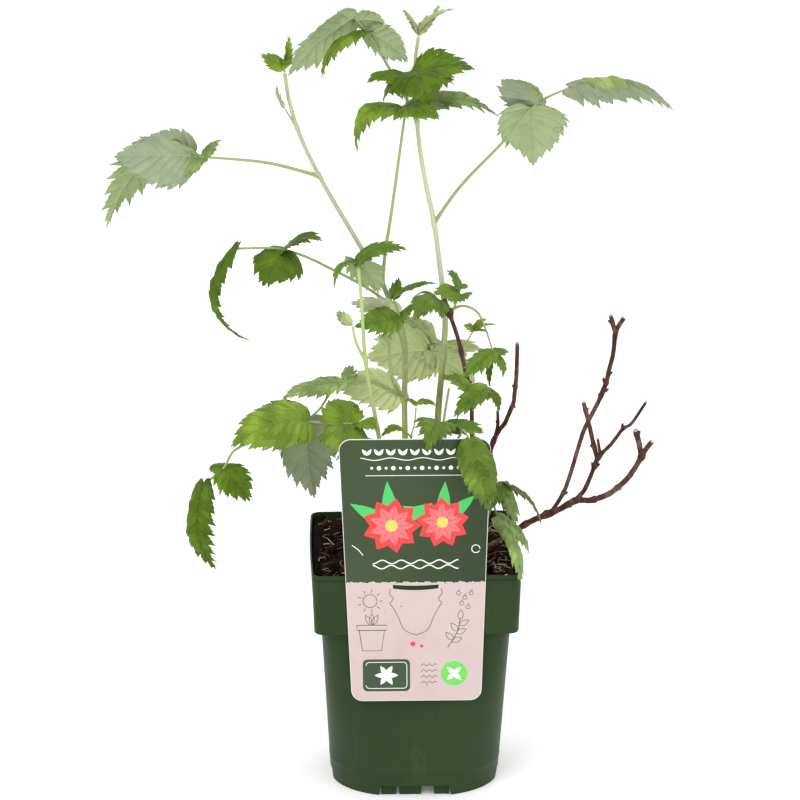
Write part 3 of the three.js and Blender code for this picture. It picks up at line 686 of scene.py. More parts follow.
Leaf("back_right", rear_stem, None, "mid", [(31, 54, 195)], [
    (1, (46, 76, 178), 26, 4, (0.3, 0.5, 1)),
    (0.8, (50, 46, 190), 20, 3, (0.3, 0.2, 1)),
    (0.8, (12, 64, 186), 20, 3, (-0.3, 0.3, 1)),
])

# ---- the leaves of the cut cane ----
Leaf("old_up", cut_cane, 308, "mid", [(27, -8, 318), (29, -9, 327)], [
    (1, (20, -12, 339), 9, 2, (0, -0.5, 1)),
    (0.8, (11, -22, 326), 15, 2, (0, -0.8, 1)),
    (1, (34, -4, 327), 5, 1, (0, -0.4, 1)),
    (0.7, (31, -22, 321), 16, 2, (0, -0.8, 1)),
])
Leaf("old_left", cut_cane, 310, "mid", [(18, -14, 317), (12, -18, 323)], [
    (1, (-1, -30, 311), 18, 5, (-0.2, -0.7, 0.7)),
    (0.8, (16, -34, 313), 13, 3, (0.2, -0.8, 0.6)),
    (1, (0, -8, 321), 5, 3, (0, -0.3, 1)),
])
Leaf("old_right", cut_cane, 311, "mid", [(31, -2, 313), (40, 2, 308), (45, 4, 298), (51, 6, 279)], [
    (1, (31, -10, 267), 13, 3, (-0.1, -0.8, 0.7)),
    (1, (57, 10, 262), 8, 3, (0.8, -0.5, 0.3)),
    (0.98, (49, 2, 257), 5, 2, (-0.3, -0.8, 0.3)),
    (1, (61, 14, 278), 7, 1, (0.3, -0.5, 0.8)),
])
Leaf("old_small", cut_cane, 283, "bright", [(35, 6, 289), (39, 14, 293)], [
    (1, (32, 14, 296), 8, 1, (0, -0.4, 1)),
    (1, (47, 18, 299), 6, 2, (0, -0.3, 1)),
    (1, (53, 13, 296), 5, 2, (0, -0.3, 1)),
    (0.95, (48, 10, 292), 4, 1, (0, -0.3, 1)),
])
Leaf("old_low", cut_cane, 256, "mid", [(36, -10, 257), (46, -20, 264)], [
    (0.45, (16, -26, 273), 15, 3, (-0.3, -0.6, 0.9)),
    (1, (24, -32, 248), 14, 4, (-0.3, -1, 0.6)),
    (0.9, (53, -26, 249), 8, 4, (0.4, -0.4, 1)),
])


# ---- leaf blades ----
# rows from one side vein to the next: their share of the way, and how far the margin stands out there
VEIN = 0.055
TOOTH_ROWS = (
    (0, 1), (VEIN, 0.72), (0.14, -0.42), (0.35, 0.12), (0.41, -0.08), (0.62, 0.45), (0.69, 0.24),
    (1 - VEIN, 0.86),
)
# columns from margin to margin: their share of the half width, their side and their half
HALF_COLUMNS = np.array([0, 0.02, 0.09, 0.2, 0.33, 0.46, 0.59, 0.73, 0.87, 1])
COLUMNS = np.concatenate([-HALF_COLUMNS[:0:-1], HALF_COLUMNS])
OUT = abs(COLUMNS)
SIDE = np.sign(COLUMNS)
HALF = (COLUMNS > 0).astype(int)
# a tooth's height, as a share of the room for it and of the leaflet's width, and how teeth differ
TOOTH_HIGH = 0.42
TOOTH_LIMIT = 0.14
MAIN_TEETH = (0.55, 1.4)
SMALL_TEETH = (0.7, 1.3)
# shares of the half width that teeth push on and of the length over which they fade at the tip
TOOTH_REACH = 0.4
TIP_FADE = 0.07
# how rows close up towards the tip, and how the margin falls back beside the stalk
CLOSING = 1.35
FIRST_ROW = 0.012
LOBE = 0.07
LOBE_REACH = 0.12
LOBE_SLOPE = 0.58
NEAR = 0.01
# how each half stands up, curls, waves and puffs up, and how much the tissue crinkles
CURL = -0.5
NARROW_FOLD = 1.2
SWAY = 0.02
WAVE = 0.045
WAVES = 1.3
TWIST = 0.3
PUFF = 0.03
CRINKLES = 0.014
CRINKLE = Rough(31, 9)
PATCHES = Rough(32, 20)
# how thick a blade is at its margin and more within, how deep its veins lie and how far they stand out
MARGIN_THICK = 0.06
MORE_THICK = 0.12
VEIN_DEEP = 0.2
VEIN_PROUD = 0.3
KEEL = 0.55

LOOKS = {
    "pale": [(120, 138, 82), (146, 157, 128)],
    "bright": [(104, 128, 40), (152, 166, 124)],
    "mid": [(92, 118, 42), (144, 158, 110)],
    "deep": [(76, 102, 20), (136, 152, 98)],
    # painted light: a paler copy of a leaf's colours, for light through a backlit leaf and to lift a leaflet
    # in shade
    "sunny": [(140, 158, 88), (194, 207, 148)],
    "young": [(158, 172, 120), (166, 178, 140)],
}
# shades of a look, dealt to faces partly by random patches and partly as painted shade: darker by the veins,
# lighter between them
UPPER_SHADES = (0.8, 0.93, 1.06, 1.2)
UPPER_VEIN = 1.1
UNDER_SHADES = (0.98, 1.02)
UNDER_VEIN = 1.09


def look_skins(name):
    """A look's materials: four shades and a vein for the upper side, two and a vein for the other."""
    upper, under = LOOKS[name]
    kinds = [(f"{i + 1}", upper, shade, 0.5) for i, shade in enumerate(UPPER_SHADES)]
    kinds += [("vein", upper, UPPER_VEIN, 0.5)]
    kinds += [(f"under_{i + 1}", under, shade, 0.75) for i, shade in enumerate(UNDER_SHADES)]
    kinds += [("under_vein", under, UNDER_VEIN, 0.7)]
    made = []
    for kind, colour, shade, roughness in kinds:
        lit = [min(255, value * shade) for value in colour]
        made.append(leaf_skin(f"leaf_{name}_{kind}", lit, roughness))
    return made


def half_width(place):
    """Half width along a leaflet, as a share of its greatest, with a drawn-out tip."""
    widest, drawn_from = 0.302, 0.66

    def shape(s):
        return s**0.38 * (1 - s) ** 0.88

    drawn = np.clip((place - drawn_from) / (1 - drawn_from), 0, 1)
    return shape(place) / shape(widest) * (1 - 0.5 * drawn**2 * (3 - 2 * drawn))


def flat_blade(length, wide, veins, dice):
    """A grid of a leaflet laid flat: its rows counted in veins, their places, and x and y.

    Rows lie along the veins, with a narrow strip on each.
    """
    share, tall = np.array(TOOTH_ROWS * veins + ((0, 0),)).T
    rows = np.arange(len(share)) // len(TOOTH_ROWS) + share
    tall = tall * np.minimum(1, rows)
    strip = (share == VEIN) * 1 - (share == 1 - VEIN) * 1
    r = rows[:, None] - strip[:, None] * 0.7 * VEIN * OUT
    left = np.clip(1 - r / veins, 0, 1)
    m = np.maximum(1 - left**CLOSING, FIRST_ROW)
    cell = np.clip(np.round(r).astype(int), 0, veins)

    # the margin, its outward way and its teeth, which stand closer towards the tip
    half = wide / 2
    edge = m - LOBE * np.exp(-m / LOBE_REACH)
    near = np.clip(m, 2 * NEAR, 0.985)
    slope_x = length * (1 + LOBE_SLOPE * np.exp(-near / LOBE_REACH))
    slope_y = half * (half_width(near + NEAR) - half_width(near - NEAR)) / (2 * NEAR)
    size = np.hypot(slope_x, slope_y)
    spacing = length / veins * CLOSING * left ** (CLOSING - 1)
    jitter = dice.uniform(*MAIN_TEETH, (veins + 1, 2))[cell, HALF]
    jitter = jitter * dice.uniform(*SMALL_TEETH, (len(rows), 2))[:, HALF]
    fade = np.clip((1 - m) / TIP_FADE, 0, 1)
    weight = np.clip((OUT - 1 + TOOTH_REACH) / TOOTH_REACH, 0, 1) ** 1.5
    tooth = np.minimum(TOOTH_HIGH * spacing, TOOTH_LIMIT * wide) * tall[:, None]
    tooth = tooth * fade * weight * jitter
    start = m ** (math.log(0.5 - 0.36 * min(1, wide / length)) / math.log(0.5))
    x = start + (edge - start) * (0.8 * OUT + 0.2 * OUT**2)
    x = x - 0.12 * OUT * (1 - OUT) * np.exp(-m / 0.07) + tooth * (0.5 - slope_y / size) / length
    return r, m, x, half * half_width(m) * OUT + tooth * slope_x / size


def tissue_kinds(light):
    """The material of each face above and below: veins, and between them shades by how light it is, painted
    shade in part.
    """
    row = np.arange(len(light) - 1)[:, None]
    step = row % len(TOOTH_ROWS)
    is_vein = ((step == len(TOOTH_ROWS) - 1) | (step == 0)) & (row > 0)
    within = abs(COLUMNS[:-1] + COLUMNS[1:])
    is_vein = is_vein & (within < 1.5) | (within < HALF_COLUMNS[2])
    light = (light[:-1, :-1] + light[1:, 1:]) / 2
    upper = np.where(is_vein, len(UPPER_SHADES), np.clip(np.round(1.5 + light), 0, len(UPPER_SHADES) - 1))
    under = np.where(is_vein, len(UNDER_SHADES), light > 0)
    return upper.ravel(), under.ravel() + len(UPPER_SHADES) + 1


def blade(skin, root, tip, wide, arch, face, first_kind, dice, curl):
    """A leaflet: side veins to its main teeth, tissue puffed up between them, and an underside."""
    chord = np.array(tip, float) - root
    length = np.linalg.norm(chord)
    along = chord / length
    rise = unit(np.array(face, float) - np.dot(face, along) * along)
    across = np.cross(rise, along)
    veins = 9 if length > 45 else 8 if length > 30 else 6 if length > 16 else 4
    r, m, x, y = flat_blade(length, wide, veins, dice)

    # each half curls about the midrib, waves at its margin and is puffed up between its veins
    half = wide / 2
    fold = EDGE_LIFT + NARROW_FOLD * max(0, 0.5 - wide / length)
    curl = np.broadcast_to(curl, 2)[HALF]
    angle = fold + curl * y / half
    lift = half / curl * (math.cos(fold) - np.cos(angle))
    aside = half / curl * (np.sin(angle) - math.sin(fold)) * SIDE
    aside = aside + SWAY * length * dice.normal() * np.sin(math.pi * np.clip(x, 0, 1))
    wave = np.sin(2 * math.pi * (WAVES * m + dice.uniform(0, 1, 2)[HALF]))
    lift = lift + WAVE * wide * wave * OUT**2 * np.clip(2 * half_width(m), 0, 1)
    to_tip = (1 - m) ** 0.3
    puff = np.abs(np.sin(math.pi * r)) ** 0.65 * np.sqrt(OUT) * (1 - 0.6 * OUT**2) * to_tip

    middle = root + chord * x[..., None] + rise * (4 * arch * x * (1 - x))[..., None]
    travel = chord + rise * (4 * arch * (1 - 2 * x))[..., None]
    travel = travel / np.linalg.norm(travel, axis=-1)[..., None]
    flat = -np.cross(np.broadcast_to(across, travel.shape), travel)
    twist = (dice.uniform(-TWIST, TWIST) * np.clip(x, 0, 1))[..., None]
    normal = flat * np.cos(twist) - across * np.sin(twist)
    sideways = across * np.cos(twist) + flat * np.sin(twist)
    middle = middle + sideways * aside[..., None] + normal * lift[..., None]
    tilt = (angle * SIDE)[..., None]
    normal = normal * np.cos(tilt) - sideways * np.sin(tilt)

    # the upper and the lower side, with grooves over the veins and ridges under them
    height = PUFF * length * puff + min(0.5, CRINKLES * length) * CRINKLE.at(middle) * to_tip
    midrib = OUT == 0
    on_vein = (np.abs(r - np.round(r)) < 0.01) * (1 - OUT) * (m > 0.02)
    thick = MARGIN_THICK + MORE_THICK * (1 - OUT**4)
    upper = height + thick - VEIN_DEEP * (on_vein + midrib)
    lower = height - thick - VEIN_PROUD * on_vein - KEEL * (1 - 0.7 * np.clip(x, 0, 1)) * midrib
    sheets = [(middle + normal * level[..., None]).reshape(-1, 3) for level in (upper, lower)]
    # darker along the veins and the midrib, towards the margin and the tip, lighter on the puffed tissue
    # how light each face is: random patches and a tone for each leaflet, plus painted shade from the puff,
    light = 0.8 * PATCHES.at(middle) + 1.5 * (puff - 0.35) + dice.uniform(-0.6, 0.6)

    number = np.arange(r.size).reshape(r.shape)
    loop = np.concatenate([number[:, 0], number[-1, 1:], number[-2::-1, -1], number[0, -2:0:-1]])
    rim = walls(loop, r.size)
    quads = grid(*r.shape)
    kind = np.concatenate([*tissue_kinds(light), np.ones(len(rim))]).astype(int) + first_kind
    skin.add(np.concatenate(sheets), quads[:, ::-1], quads + r.size, rim, kind=kind)


def grow_leaves():
    """One piece of blades for each group of canes."""
    skins = {name: look_skins(name) for name in LOOKS}
    for group, members in by_group(leaves).items():
        skin = Skin()
        for leaf in members:
            dice = dice_for(leaf.name)
            for place, tip, wide, arch, face, *own in leaf.leaflets:
                look, curl = own or (leaf.look, CURL)
                first = skin.first_of(skins[look])
                blade(skin, leaf.root(place), tip, wide, arch, face, first, dice, curl)
        skin.make(f"{group}_leaf_blades", "leaf", [leaf.name for leaf in members])


# ---- stalks, green canes and prickles ----
ROOT_DEPTH = 7
CANE_SIDES = 16
STALK_SIDES = 10
# how far apart rings stand, and how much and how far a limb swells where a leaf or a branch leaves
CANE_STEP = 1.5
STALK_STEP = 2.5
NODE = (0.28, 2.6)
STALK_FOOT = (0.6, 2.5)
# how far from the axis things sit, as a share of the radius
SUNK = 0.9
STIPULE_LONG = (3.5, 6)
STIPULE_THICK = 0.28
PRICKLE_THICK = 0.16
# how many prickles a cane has; the others have a few
BRISTLY = {"cane_right": 170, "cane_left": 90, "stem_hairy": 110, "cane_front": 50}
A_FEW = 25
# the heights in metres between which young bark changes colour
BARK_FOOT = 0.14
BARK_SPAN = 0.36
GREEN_BARKS = {
    "left": [(145, (104, 122, 44)), (230, (124, 142, 48)), (330, (154, 162, 134)), (470, (150, 162, 118))],
    "right": [
        (145, (66, 88, 12)), (252, (86, 108, 18)), (300, (150, 162, 110)), (335, (178, 184, 158)),
        (480, (166, 180, 130)),
    ],
    "front": [(145, (120, 140, 68)), (250, (150, 172, 100)), (350, (164, 184, 112))],
    "low": [(145, (122, 140, 78)), (255, (160, 176, 118))],
}


def rounded(route, radius, shares):
    """The radius drawn in over the last millimetre, for a round tip."""
    left = (1 - shares) * route.length
    return radius * np.sqrt(np.clip(1 - (1 - np.clip(left, 0, 1)) ** 2, 0.02, 1))


def swollen(limb, shares, swellings):
    """The limb's radius, thicker about some places; each swelling is its share, gain and reach."""
    radius = limb.radius(shares)
    for share, gain, reach in swellings:
        radius = radius * (1 + gain * np.exp(-(((shares - share) * limb.route.length / reach) ** 2)))
    return radius


def limb_skin(skin, limb, rings, kind=0):
    """A closed skin over rings, which a rooted limb takes on down into the soil."""
    if limb.rooted:
        rings = np.concatenate([[rings[0] - [0, 0, ROOT_DEPTH]], rings])
    loft(skin, rings, kind)


def grow_stalks():
    """Leaf stalks, swollen where they leave the cane, with a pair of needle-like stipules there."""
    finish = Finish("leaf_stalk", 0.5, Specular_IOR_Level=0.4)
    streaks = finish.noise(1, 3, finish.stretched(300, 300, 60))
    finish.drive("Base Color", finish.blend(streaks, (150, 166, 110), (128, 146, 86)))
    finish.relief(finish.noise(900), 0.0002, 0.5)
    for group, members in by_group(leaves).items():
        skin = Skin(finish.material)
        for leaf in members:
            dice = dice_for(leaf.name, 1)
            route = leaf.stalk.route
            gain, reach = STALK_FOOT
            shares = np.linspace(0, 1, max(5, int(route.length / STALK_STEP)))
            radius = leaf.stalk.radius(shares) * (1 + gain * np.exp(-shares * route.length / reach))
            loft(skin, rings_along(route, shares, rounded(route, radius, shares), STALK_SIDES))
            if leaf.on_tip:
                continue
            across, other = turned(route.along(0.02))
            root = route.at(min(0.5, reach / route.length))[0]
            for way in (1, -1):
                out = route.along(0.1)[0] + way * 0.7 * across[0] + 0.2 * other[0]
                thorn(skin, root, out, dice.uniform(*STIPULE_LONG), STIPULE_THICK)
        skin.make(f"{group}_leaf_stalks", "green_stem")


def prickles(skin, limb, kind):
    """Soft short prickles all round a cane, nearly up to its tip."""
    dice = dice_for(limb.name, 2)
    count = BRISTLY.get(limb.name, A_FEW)
    shares = dice.uniform(0, 0.98, count)
    ways = limb.route.along(shares)
    across, other = turned(ways)
    angles = dice.uniform(0, 2 * math.pi, count)[:, None]
    outs = across * np.cos(angles) + other * np.sin(angles)
    for place, way, out, share in zip(limb.route.at(shares), ways, outs, shares):
        root = place + out * limb.radius(share) * SUNK
        thorn(skin, root, out - 0.3 * way, dice.uniform(0.6, 1.3), PRICKLE_THICK, kind, 3)


def green_cane(skin, limb):
    """A smooth young cane, a little thicker at each leaf."""
    shares = np.linspace(0, 1, int(limb.route.length / CANE_STEP))
    radius = swollen(limb, shares, [(bump, *NODE) for bump in limb.bumps])
    radius = rounded(limb.route, radius, shares)
    limb_skin(skin, limb, rings_along(limb.route, shares, radius, CANE_SIDES))


def cane_finish(name, stops):
    """Young bark: colours that change with height, faint streaks along it, and a soft bloom."""
    finish = Finish(name, 0.48, Specular_IOR_Level=0.4)
    scaled = [((z * MM - BARK_FOOT) / BARK_SPAN, colour) for z, colour in stops]
    colour = finish.ramp((finish.axis("Z") - BARK_FOOT) * (1 / BARK_SPAN), *scaled)
    streaks = finish.noise(1, 4, finish.stretched(700, 700, 40))
    colour = finish.overlay(colour, streaks, 0.35, 0.75, 0.35, (214, 222, 170))
    finish.drive("Base Color", colour)
    finish.drive("Roughness", 0.42 + streaks * 0.2)
    finish.relief(streaks + finish.noise(900) * 0.5, 0.0002, 0.5)
    return finish.material


def grow_green_canes():
    hair = leaf_skin("cane_hair", (196, 206, 160), 0.6)
    for group, stops in GREEN_BARKS.items():
        members = by_group(canes)[group]
        skin = Skin(cane_finish(f"{group}_cane_bark", stops), hair)
        for limb in members:
            green_cane(skin, limb)
            prickles(skin, limb, 1)
        skin.make(f"{group}_cane_skins", "green_stem", [limb.name for limb in members])


# ---- old wood ----
WOOD_SIDES = 14
# how much and how far old wood swells at a fork and a bud, how uneven it is, and its collar at a cut
WOOD_FORK = (0.3, 2.8)
BUD_GAIN = 0.2
BUD_REACH = 2.0
UNEVEN = 0.04
COLLAR_OUT = 1.03
BUD_SIDES = 9
BUD_PROFILE = [(-0.4, 0.55), (0.1, 0.72), (0.6, 0.78), (1.2, 0.62), (1.8, 0.4), (2.3, 0.12)]
# where buds and old leaf scars sit on each old limb: height, the way they stand out, size
BUDS = {
    cut_cane: [(262, (1, -0.3, 0), 0.8), (309.5, (-0.8, -0.6, 0), 1.0)],
    bent_cane: [(241.5, (1, -0.2, 0), 0.8), (255, (-1, -0.2, 0), 0.9)],
    stub: [(230, (-1, -0.4, 0), 0.7)],
    long_cane: [(161, (0, -0.4, 1), 1.1), (167.5, (-0.3, 0, 1), 1.2), (175, (0.2, 0, -1), 0.9)],
    back_bough: [
        (180.5, (1, -0.2, 0), 1.2), (239, (-1, -0.3, 0), 0.9), (248, (-1, -0.1, 0), 1.5),
        (243, (1, -0.3, 0.2), 1.4), (254, (1, 0.1, 0), 1.0),
    ],
    back_fork: [(288, (-1, 0, 0.2), 1.1)],
    middle_bough: [
        (203, (-1, -0.2, 0.2), 1.3), (203.5, (1, -0.2, 0), 1.4), (231.5, (-0.5, 0, 1), 1.5),
    ],
    middle_fork: [(216, (-1, -0.2, 0), 1.0), (239, (1, -0.2, 0), 0.9)],
    front_bough: [(191, (0.6, 0, -0.8), 0.8), (214, (-0.7, 0, 0.7), 0.9)],
    front_fork: [(231, (1, 0, 0.2), 1.0)],
}


def old_cane(skin, limb, rough, kind):
    """Dead wood: swollen where a bud or a scar sits, bark that is not quite round, a pale cut end."""
    route = limb.route
    shares = np.linspace(0, 1, max(8, int(route.length)))
    buds = [(limb.share(limb.seat(height)), out, size) for height, out, size in BUDS.get(limb, [])]
    swellings = [(share, BUD_GAIN * size, BUD_REACH) for share, _, size in buds]
    swellings += [(share, *WOOD_FORK) for share in limb.bumps]
    radius = swollen(limb, shares, swellings)[:, None]
    smooth = rings_along(route, shares, radius, WOOD_SIDES)
    uneven = radius * (1 + UNEVEN * rough.at(smooth))
    limb_skin(skin, limb, rings_along(route, shares, uneven, WOOD_SIDES), kind)
    if limb.cut:
        tip = COLLAR_OUT * limb.tip_radius
        profile = [(-0.6, tip), (0, tip), (0.25, 0.85 * limb.tip_radius)]
        lathe(skin, route.at(1)[0], route.along(0.995)[0], profile, WOOD_SIDES, 1)
    for share, out, size in buds:
        way = route.along(share)[0]
        out = unit(np.array(out, float) - np.dot(out, way) * way)
        root = route.at(share)[0] + out * limb.radius(share) * SUNK
        profile = [(distance * size, radius * size) for distance, radius in BUD_PROFILE]
        lathe(skin, root, 0.55 * out + 0.85 * way, profile, BUD_SIDES, kind)


def old_bark(name, dark, brown, light, bloom_share):
    """Bark with a dark grain along it and patches of a pale bloom."""
    bark = Finish(name, 0.6, Specular_IOR_Level=0.25)
    grain = bark.noise(1, 5, bark.stretched(320, 320, 150), 0.6)
    wood = bark.ramp(grain, (0.3, dark), (0.52, brown), (0.74, light))
    bloom = bark.between(bark.noise(45, 4), 0.55, 0.72)
    bark.drive("Base Color", bark.blend(bloom * bloom_share, wood, (122, 92, 84)))
    specks = bark.between(bark.noise(520, 2), 0.66, 0.72)
    bark.drive("Roughness", 0.72 - bloom * 0.22)
    bark.relief(grain + specks * 0.6, 0.0006, 0.7)
    return bark.material


def grow_old_canes():
    cut = Finish("cut_wood", 0.8)
    cut.drive("Base Color", cut.blend(cut.noise(700), (200, 184, 174), (148, 124, 112)))
    grey_bark = old_bark("old_bark", (34, 19, 13), (76, 46, 35), (122, 88, 75), 0.5)
    dark_bark = old_bark("dark_bark", (38, 18, 12), (72, 38, 27), (110, 74, 60), 0.2)
    skin = Skin(grey_bark, cut.material, dark_bark)
    rough = Rough(3, 5)
    members = by_group(canes)["old"]
    for limb in members:
        old_cane(skin, limb, rough, 2 if limb in (cut_cane, bent_cane, stub) else 0)
    skin.make("old_wood", "old_wood", [limb.name for limb in members])


# ---- the pot ----
LIP = 3
# how far edges are rolled in, and the bead at the mould line and the boss
EDGE = 0.4
BEAD = 0.5
CUT_MORE = 6
ARCH_MORE = 1.8
ARCH_DRAFT = 2.6
PAD_DRAFT = 0.8
SHARP = 32
BOX_FACES = [[0, 1, 3, 2], [4, 6, 7, 5], [0, 4, 5, 1], [2, 3, 7, 6], [0, 2, 6, 4], [1, 5, 7, 3]]


def pot_ring(half, corner, z, bow=0.0):
    """One level of the pot: a square with round corners whose sides swell outward."""
    straight = half - corner
    places = [(half + bow * (1 - a * a), a * straight) for a in np.linspace(-0.9, 0.9, 9)]
    places += [(straight + x, straight + y) for x, y in circle(0, 0, corner, 0, 90, 13)]
    x, y = np.array(places).T
    quarters = [(x, y), (-y, x), (-x, -y), (y, -x)]
    return np.concatenate([np.stack([*quarter, np.full(len(x), z)], -1) for quarter in quarters])


def body_ring(z, inset=0.0):
    """A level of the body below the collar, moved in by a distance."""
    share = min(z, COLLAR_FOOT) / COLLAR_FOOT
    half = BODY_FOOT_HALF + (BODY_TOP_HALF - BODY_FOOT_HALF) * share
    corner = FOOT_CORNER + (BODY_CORNER - FOOT_CORNER) * share
    return pot_ring(half - inset, corner - inset, z)


def collar_ring(z, inset=0.0):
    share = (z - COLLAR_FOOT) / COLLAR_HEIGHT
    half = COLLAR_FOOT_HALF + (POT_HALF - COLLAR_FOOT_HALF) * share
    return pot_ring(half - inset, RIM_CORNER - inset, z, RIM_BOW * share)


def box(skin, low, high, turn=0.0, draft=0.0):
    """A box; with a draft it is that much wider to each side at its top."""
    corners = np.array([[x, y, z] for x in (0, 1) for y in (0, 1) for z in (0, 1)])
    points = np.array(low) + corners * (np.array(high) - np.array(low))
    points[:, 0] += draft * corners[:, 2] * (2 * corners[:, 0] - 1)
    cosine, sine = math.cos(turn), math.sin(turn)
    skin.add(points @ np.array([[cosine, sine, 0], [-sine, cosine, 0], [0, 0, 1]]), BOX_FACES)


def carved(mesh, steps):
    """The mesh after each step, which joins on or takes away another mesh."""
    body = placed("carving", mesh)
    tools = []
    for operation, cutter in steps:
        modifier = body.modifiers.new("carve", "BOOLEAN")
        modifier.operation = operation
        modifier.solver = "EXACT"
        modifier.object = placed("cutter", cutter)
        tools.append(modifier.object)
    graph = bpy.context.evaluated_depsgraph_get()
    made = bpy.data.meshes.new_from_object(body.evaluated_get(graph))
    for thing in (body, *tools):
        bpy.data.objects.remove(thing)
    return made


def pot_plastic():
    finish = Finish("pot_plastic", 0.42, Specular_IOR_Level=0.09)
    cloud = finish.noise(9, 5)
    colour = finish.ramp(cloud, (0.3, (41, 56, 31)), (0.7, (48, 64, 37)))
    dust = finish.noise(1, 6, finish.stretched(60, 60, 22), 0.65)
    scuff = finish.between(dust, 0.62, 0.78) * 0.3
    colour = finish.blend(scuff, colour, (82, 98, 70))
    colour = finish.overlay(colour, finish.noise(260, 2), 0.74, 0.78, 0.8, (26, 25, 18))
    finish.drive("Base Color", colour)
    finish.drive("Roughness", 0.36 + cloud * 0.12 + scuff * 0.5)
    finish.relief(finish.noise(1100, 2) + dust * 0.6, 0.00012, 0.6)
    return finish.material


def grow_pot():
    """The pot's wall out and in, cut by an arch on each side and the drain holes, on its feet."""
    shell = Skin(pot_plastic())
    lip = POT_HEIGHT - LIP
    loft(shell, [
        body_ring(0, WALL) + [0, 0, FLOOR],
        body_ring(0, WALL) + [0, 0, 0.5],
        body_ring(0, WALL - 0.35),
        body_ring(0, EDGE),
        *[body_ring(z) for z in (0.5, 4, 8, 12, MOULD_LINE - BEAD)],
        body_ring(MOULD_LINE, -0.22),
        *[body_ring(z) for z in (MOULD_LINE + BEAD, 30, 48, 65, 82, 100, COLLAR_FOOT - 0.8)],
        body_ring(COLLAR_FOOT, -0.7),
        collar_ring(COLLAR_FOOT, 0.9),
        collar_ring(COLLAR_FOOT + 0.25, 0.25),
        *[collar_ring(COLLAR_FOOT + z) for z in (1, 14, 27)],
        collar_ring(lip - 0.6),
        collar_ring(lip - 0.3, 0.45),
        collar_ring(lip, 0.45),
        collar_ring(lip + EDGE),
        collar_ring(POT_HEIGHT - EDGE),
        collar_ring(POT_HEIGHT, EDGE),
        collar_ring(POT_HEIGHT, WALL - EDGE),
        collar_ring(POT_HEIGHT - EDGE, WALL),
        collar_ring(COLLAR_FOOT + WALL, WALL),
        *[body_ring(z, WALL) for z in (COLLAR_FOOT + WALL, 65, MOULD_LINE, FLOOR + WALL + GAP)],
    ])
    feet, cuts = Skin(), Skin()
    up = (0, 0, 1)
    in_floor = FLOOR + WALL
    boss = [(0, BOSS_RADIUS - BEAD), (BEAD, BOSS_RADIUS), (in_floor, BOSS_RADIUS)]
    lathe(feet, (0, 0, 0), up, boss, 40)
    for side in range(4):
        turn = side * math.pi / 2
        low = (ARCH_SPAN[0] - ARCH_MORE, -BODY_FOOT_HALF - CUT_MORE, -ARCH_HIGH)
        high = (ARCH_SPAN[1] + ARCH_MORE, CUT_MORE - BODY_FOOT_HALF, ARCH_HIGH)
        box(cuts, low, high, turn, -ARCH_DRAFT)
        for start, end in PAD_SPANS:
            low = (start + PAD_DRAFT, -PAD_OUT - PAD_DEEP / 2, 0)
            high = (end - PAD_DRAFT, PAD_DEEP / 2 - PAD_OUT, in_floor)
            box(feet, low, high, turn, PAD_DRAFT)
        diagonal = turn + math.pi / 4
        where = (DRAIN_OUT * math.cos(diagonal), DRAIN_OUT * math.sin(diagonal), FLOOR / 2)
        lathe(cuts, where, up, [(0, DRAIN_RADIUS), (1.5 * FLOOR, DRAIN_RADIUS)], 32)
    steps = [("DIFFERENCE", cuts.mesh("cuts")), ("UNION", feet.mesh("feet"))]
    mesh = carved(shell.mesh("moulding"), steps)
    mesh.set_sharp_from_angle(angle=math.radians(SHARP))
    settle(mesh, "pot_moulding", ["pot"])


# ---- the compost ----
hills = Rough(11, 26)
clods = Rough(12, 8)
CRUMBS = 1000
CRUMB_SPREAD = 61
CRUMB_LEAST = 0.6
CRUMB_MORE = 2.6
CRUMB_SHARES = [0.56, 0.29, 0.11, 0.04]
GRIT = 3
GRIT_SIZE = 0.55
FIBRES = 300
FIBRE_SPREAD = 59
FIBRE_LIMIT = 61.5
FIBRE_LONG = (5, 20)
FIBRE_THICK = (0.18, 0.42)
FIBRE_SHARES = [0.5, 0.25, 0.25]
# the heap towards the back and the hollow along the wall
HEAP = 1.6
HEAP_REACH = 30
HOLLOW = 1.6


def soil_height(points):
    """The compost's top over points on the level: loose, lower at the front, heaped to the back."""
    flat = points * [1, 1, 0]
    wall = np.clip((np.abs(flat).max(1) - 50) / 14, 0, 1)
    heap = HEAP * np.tanh(flat[:, 1] / HEAP_REACH)
    return SOIL_TOP + heap + 0.9 * hills.at(flat) + 0.8 * clods.at(flat) - HOLLOW * wall**2


def soil_at(x, y):
    return soil_height(np.array([[x, y, 0]]))[0]


def compost_finish(name, colour, second):
    finish = Finish(name, 0.95, Specular_IOR_Level=0.06)
    crumbs = finish.noise(420, 6, None, 0.7)
    finish.drive("Base Color", finish.ramp(crumbs, (0.35, colour), (0.7, second)))
    finish.relief(crumbs, 0.0012, 0.9)
    return finish.material


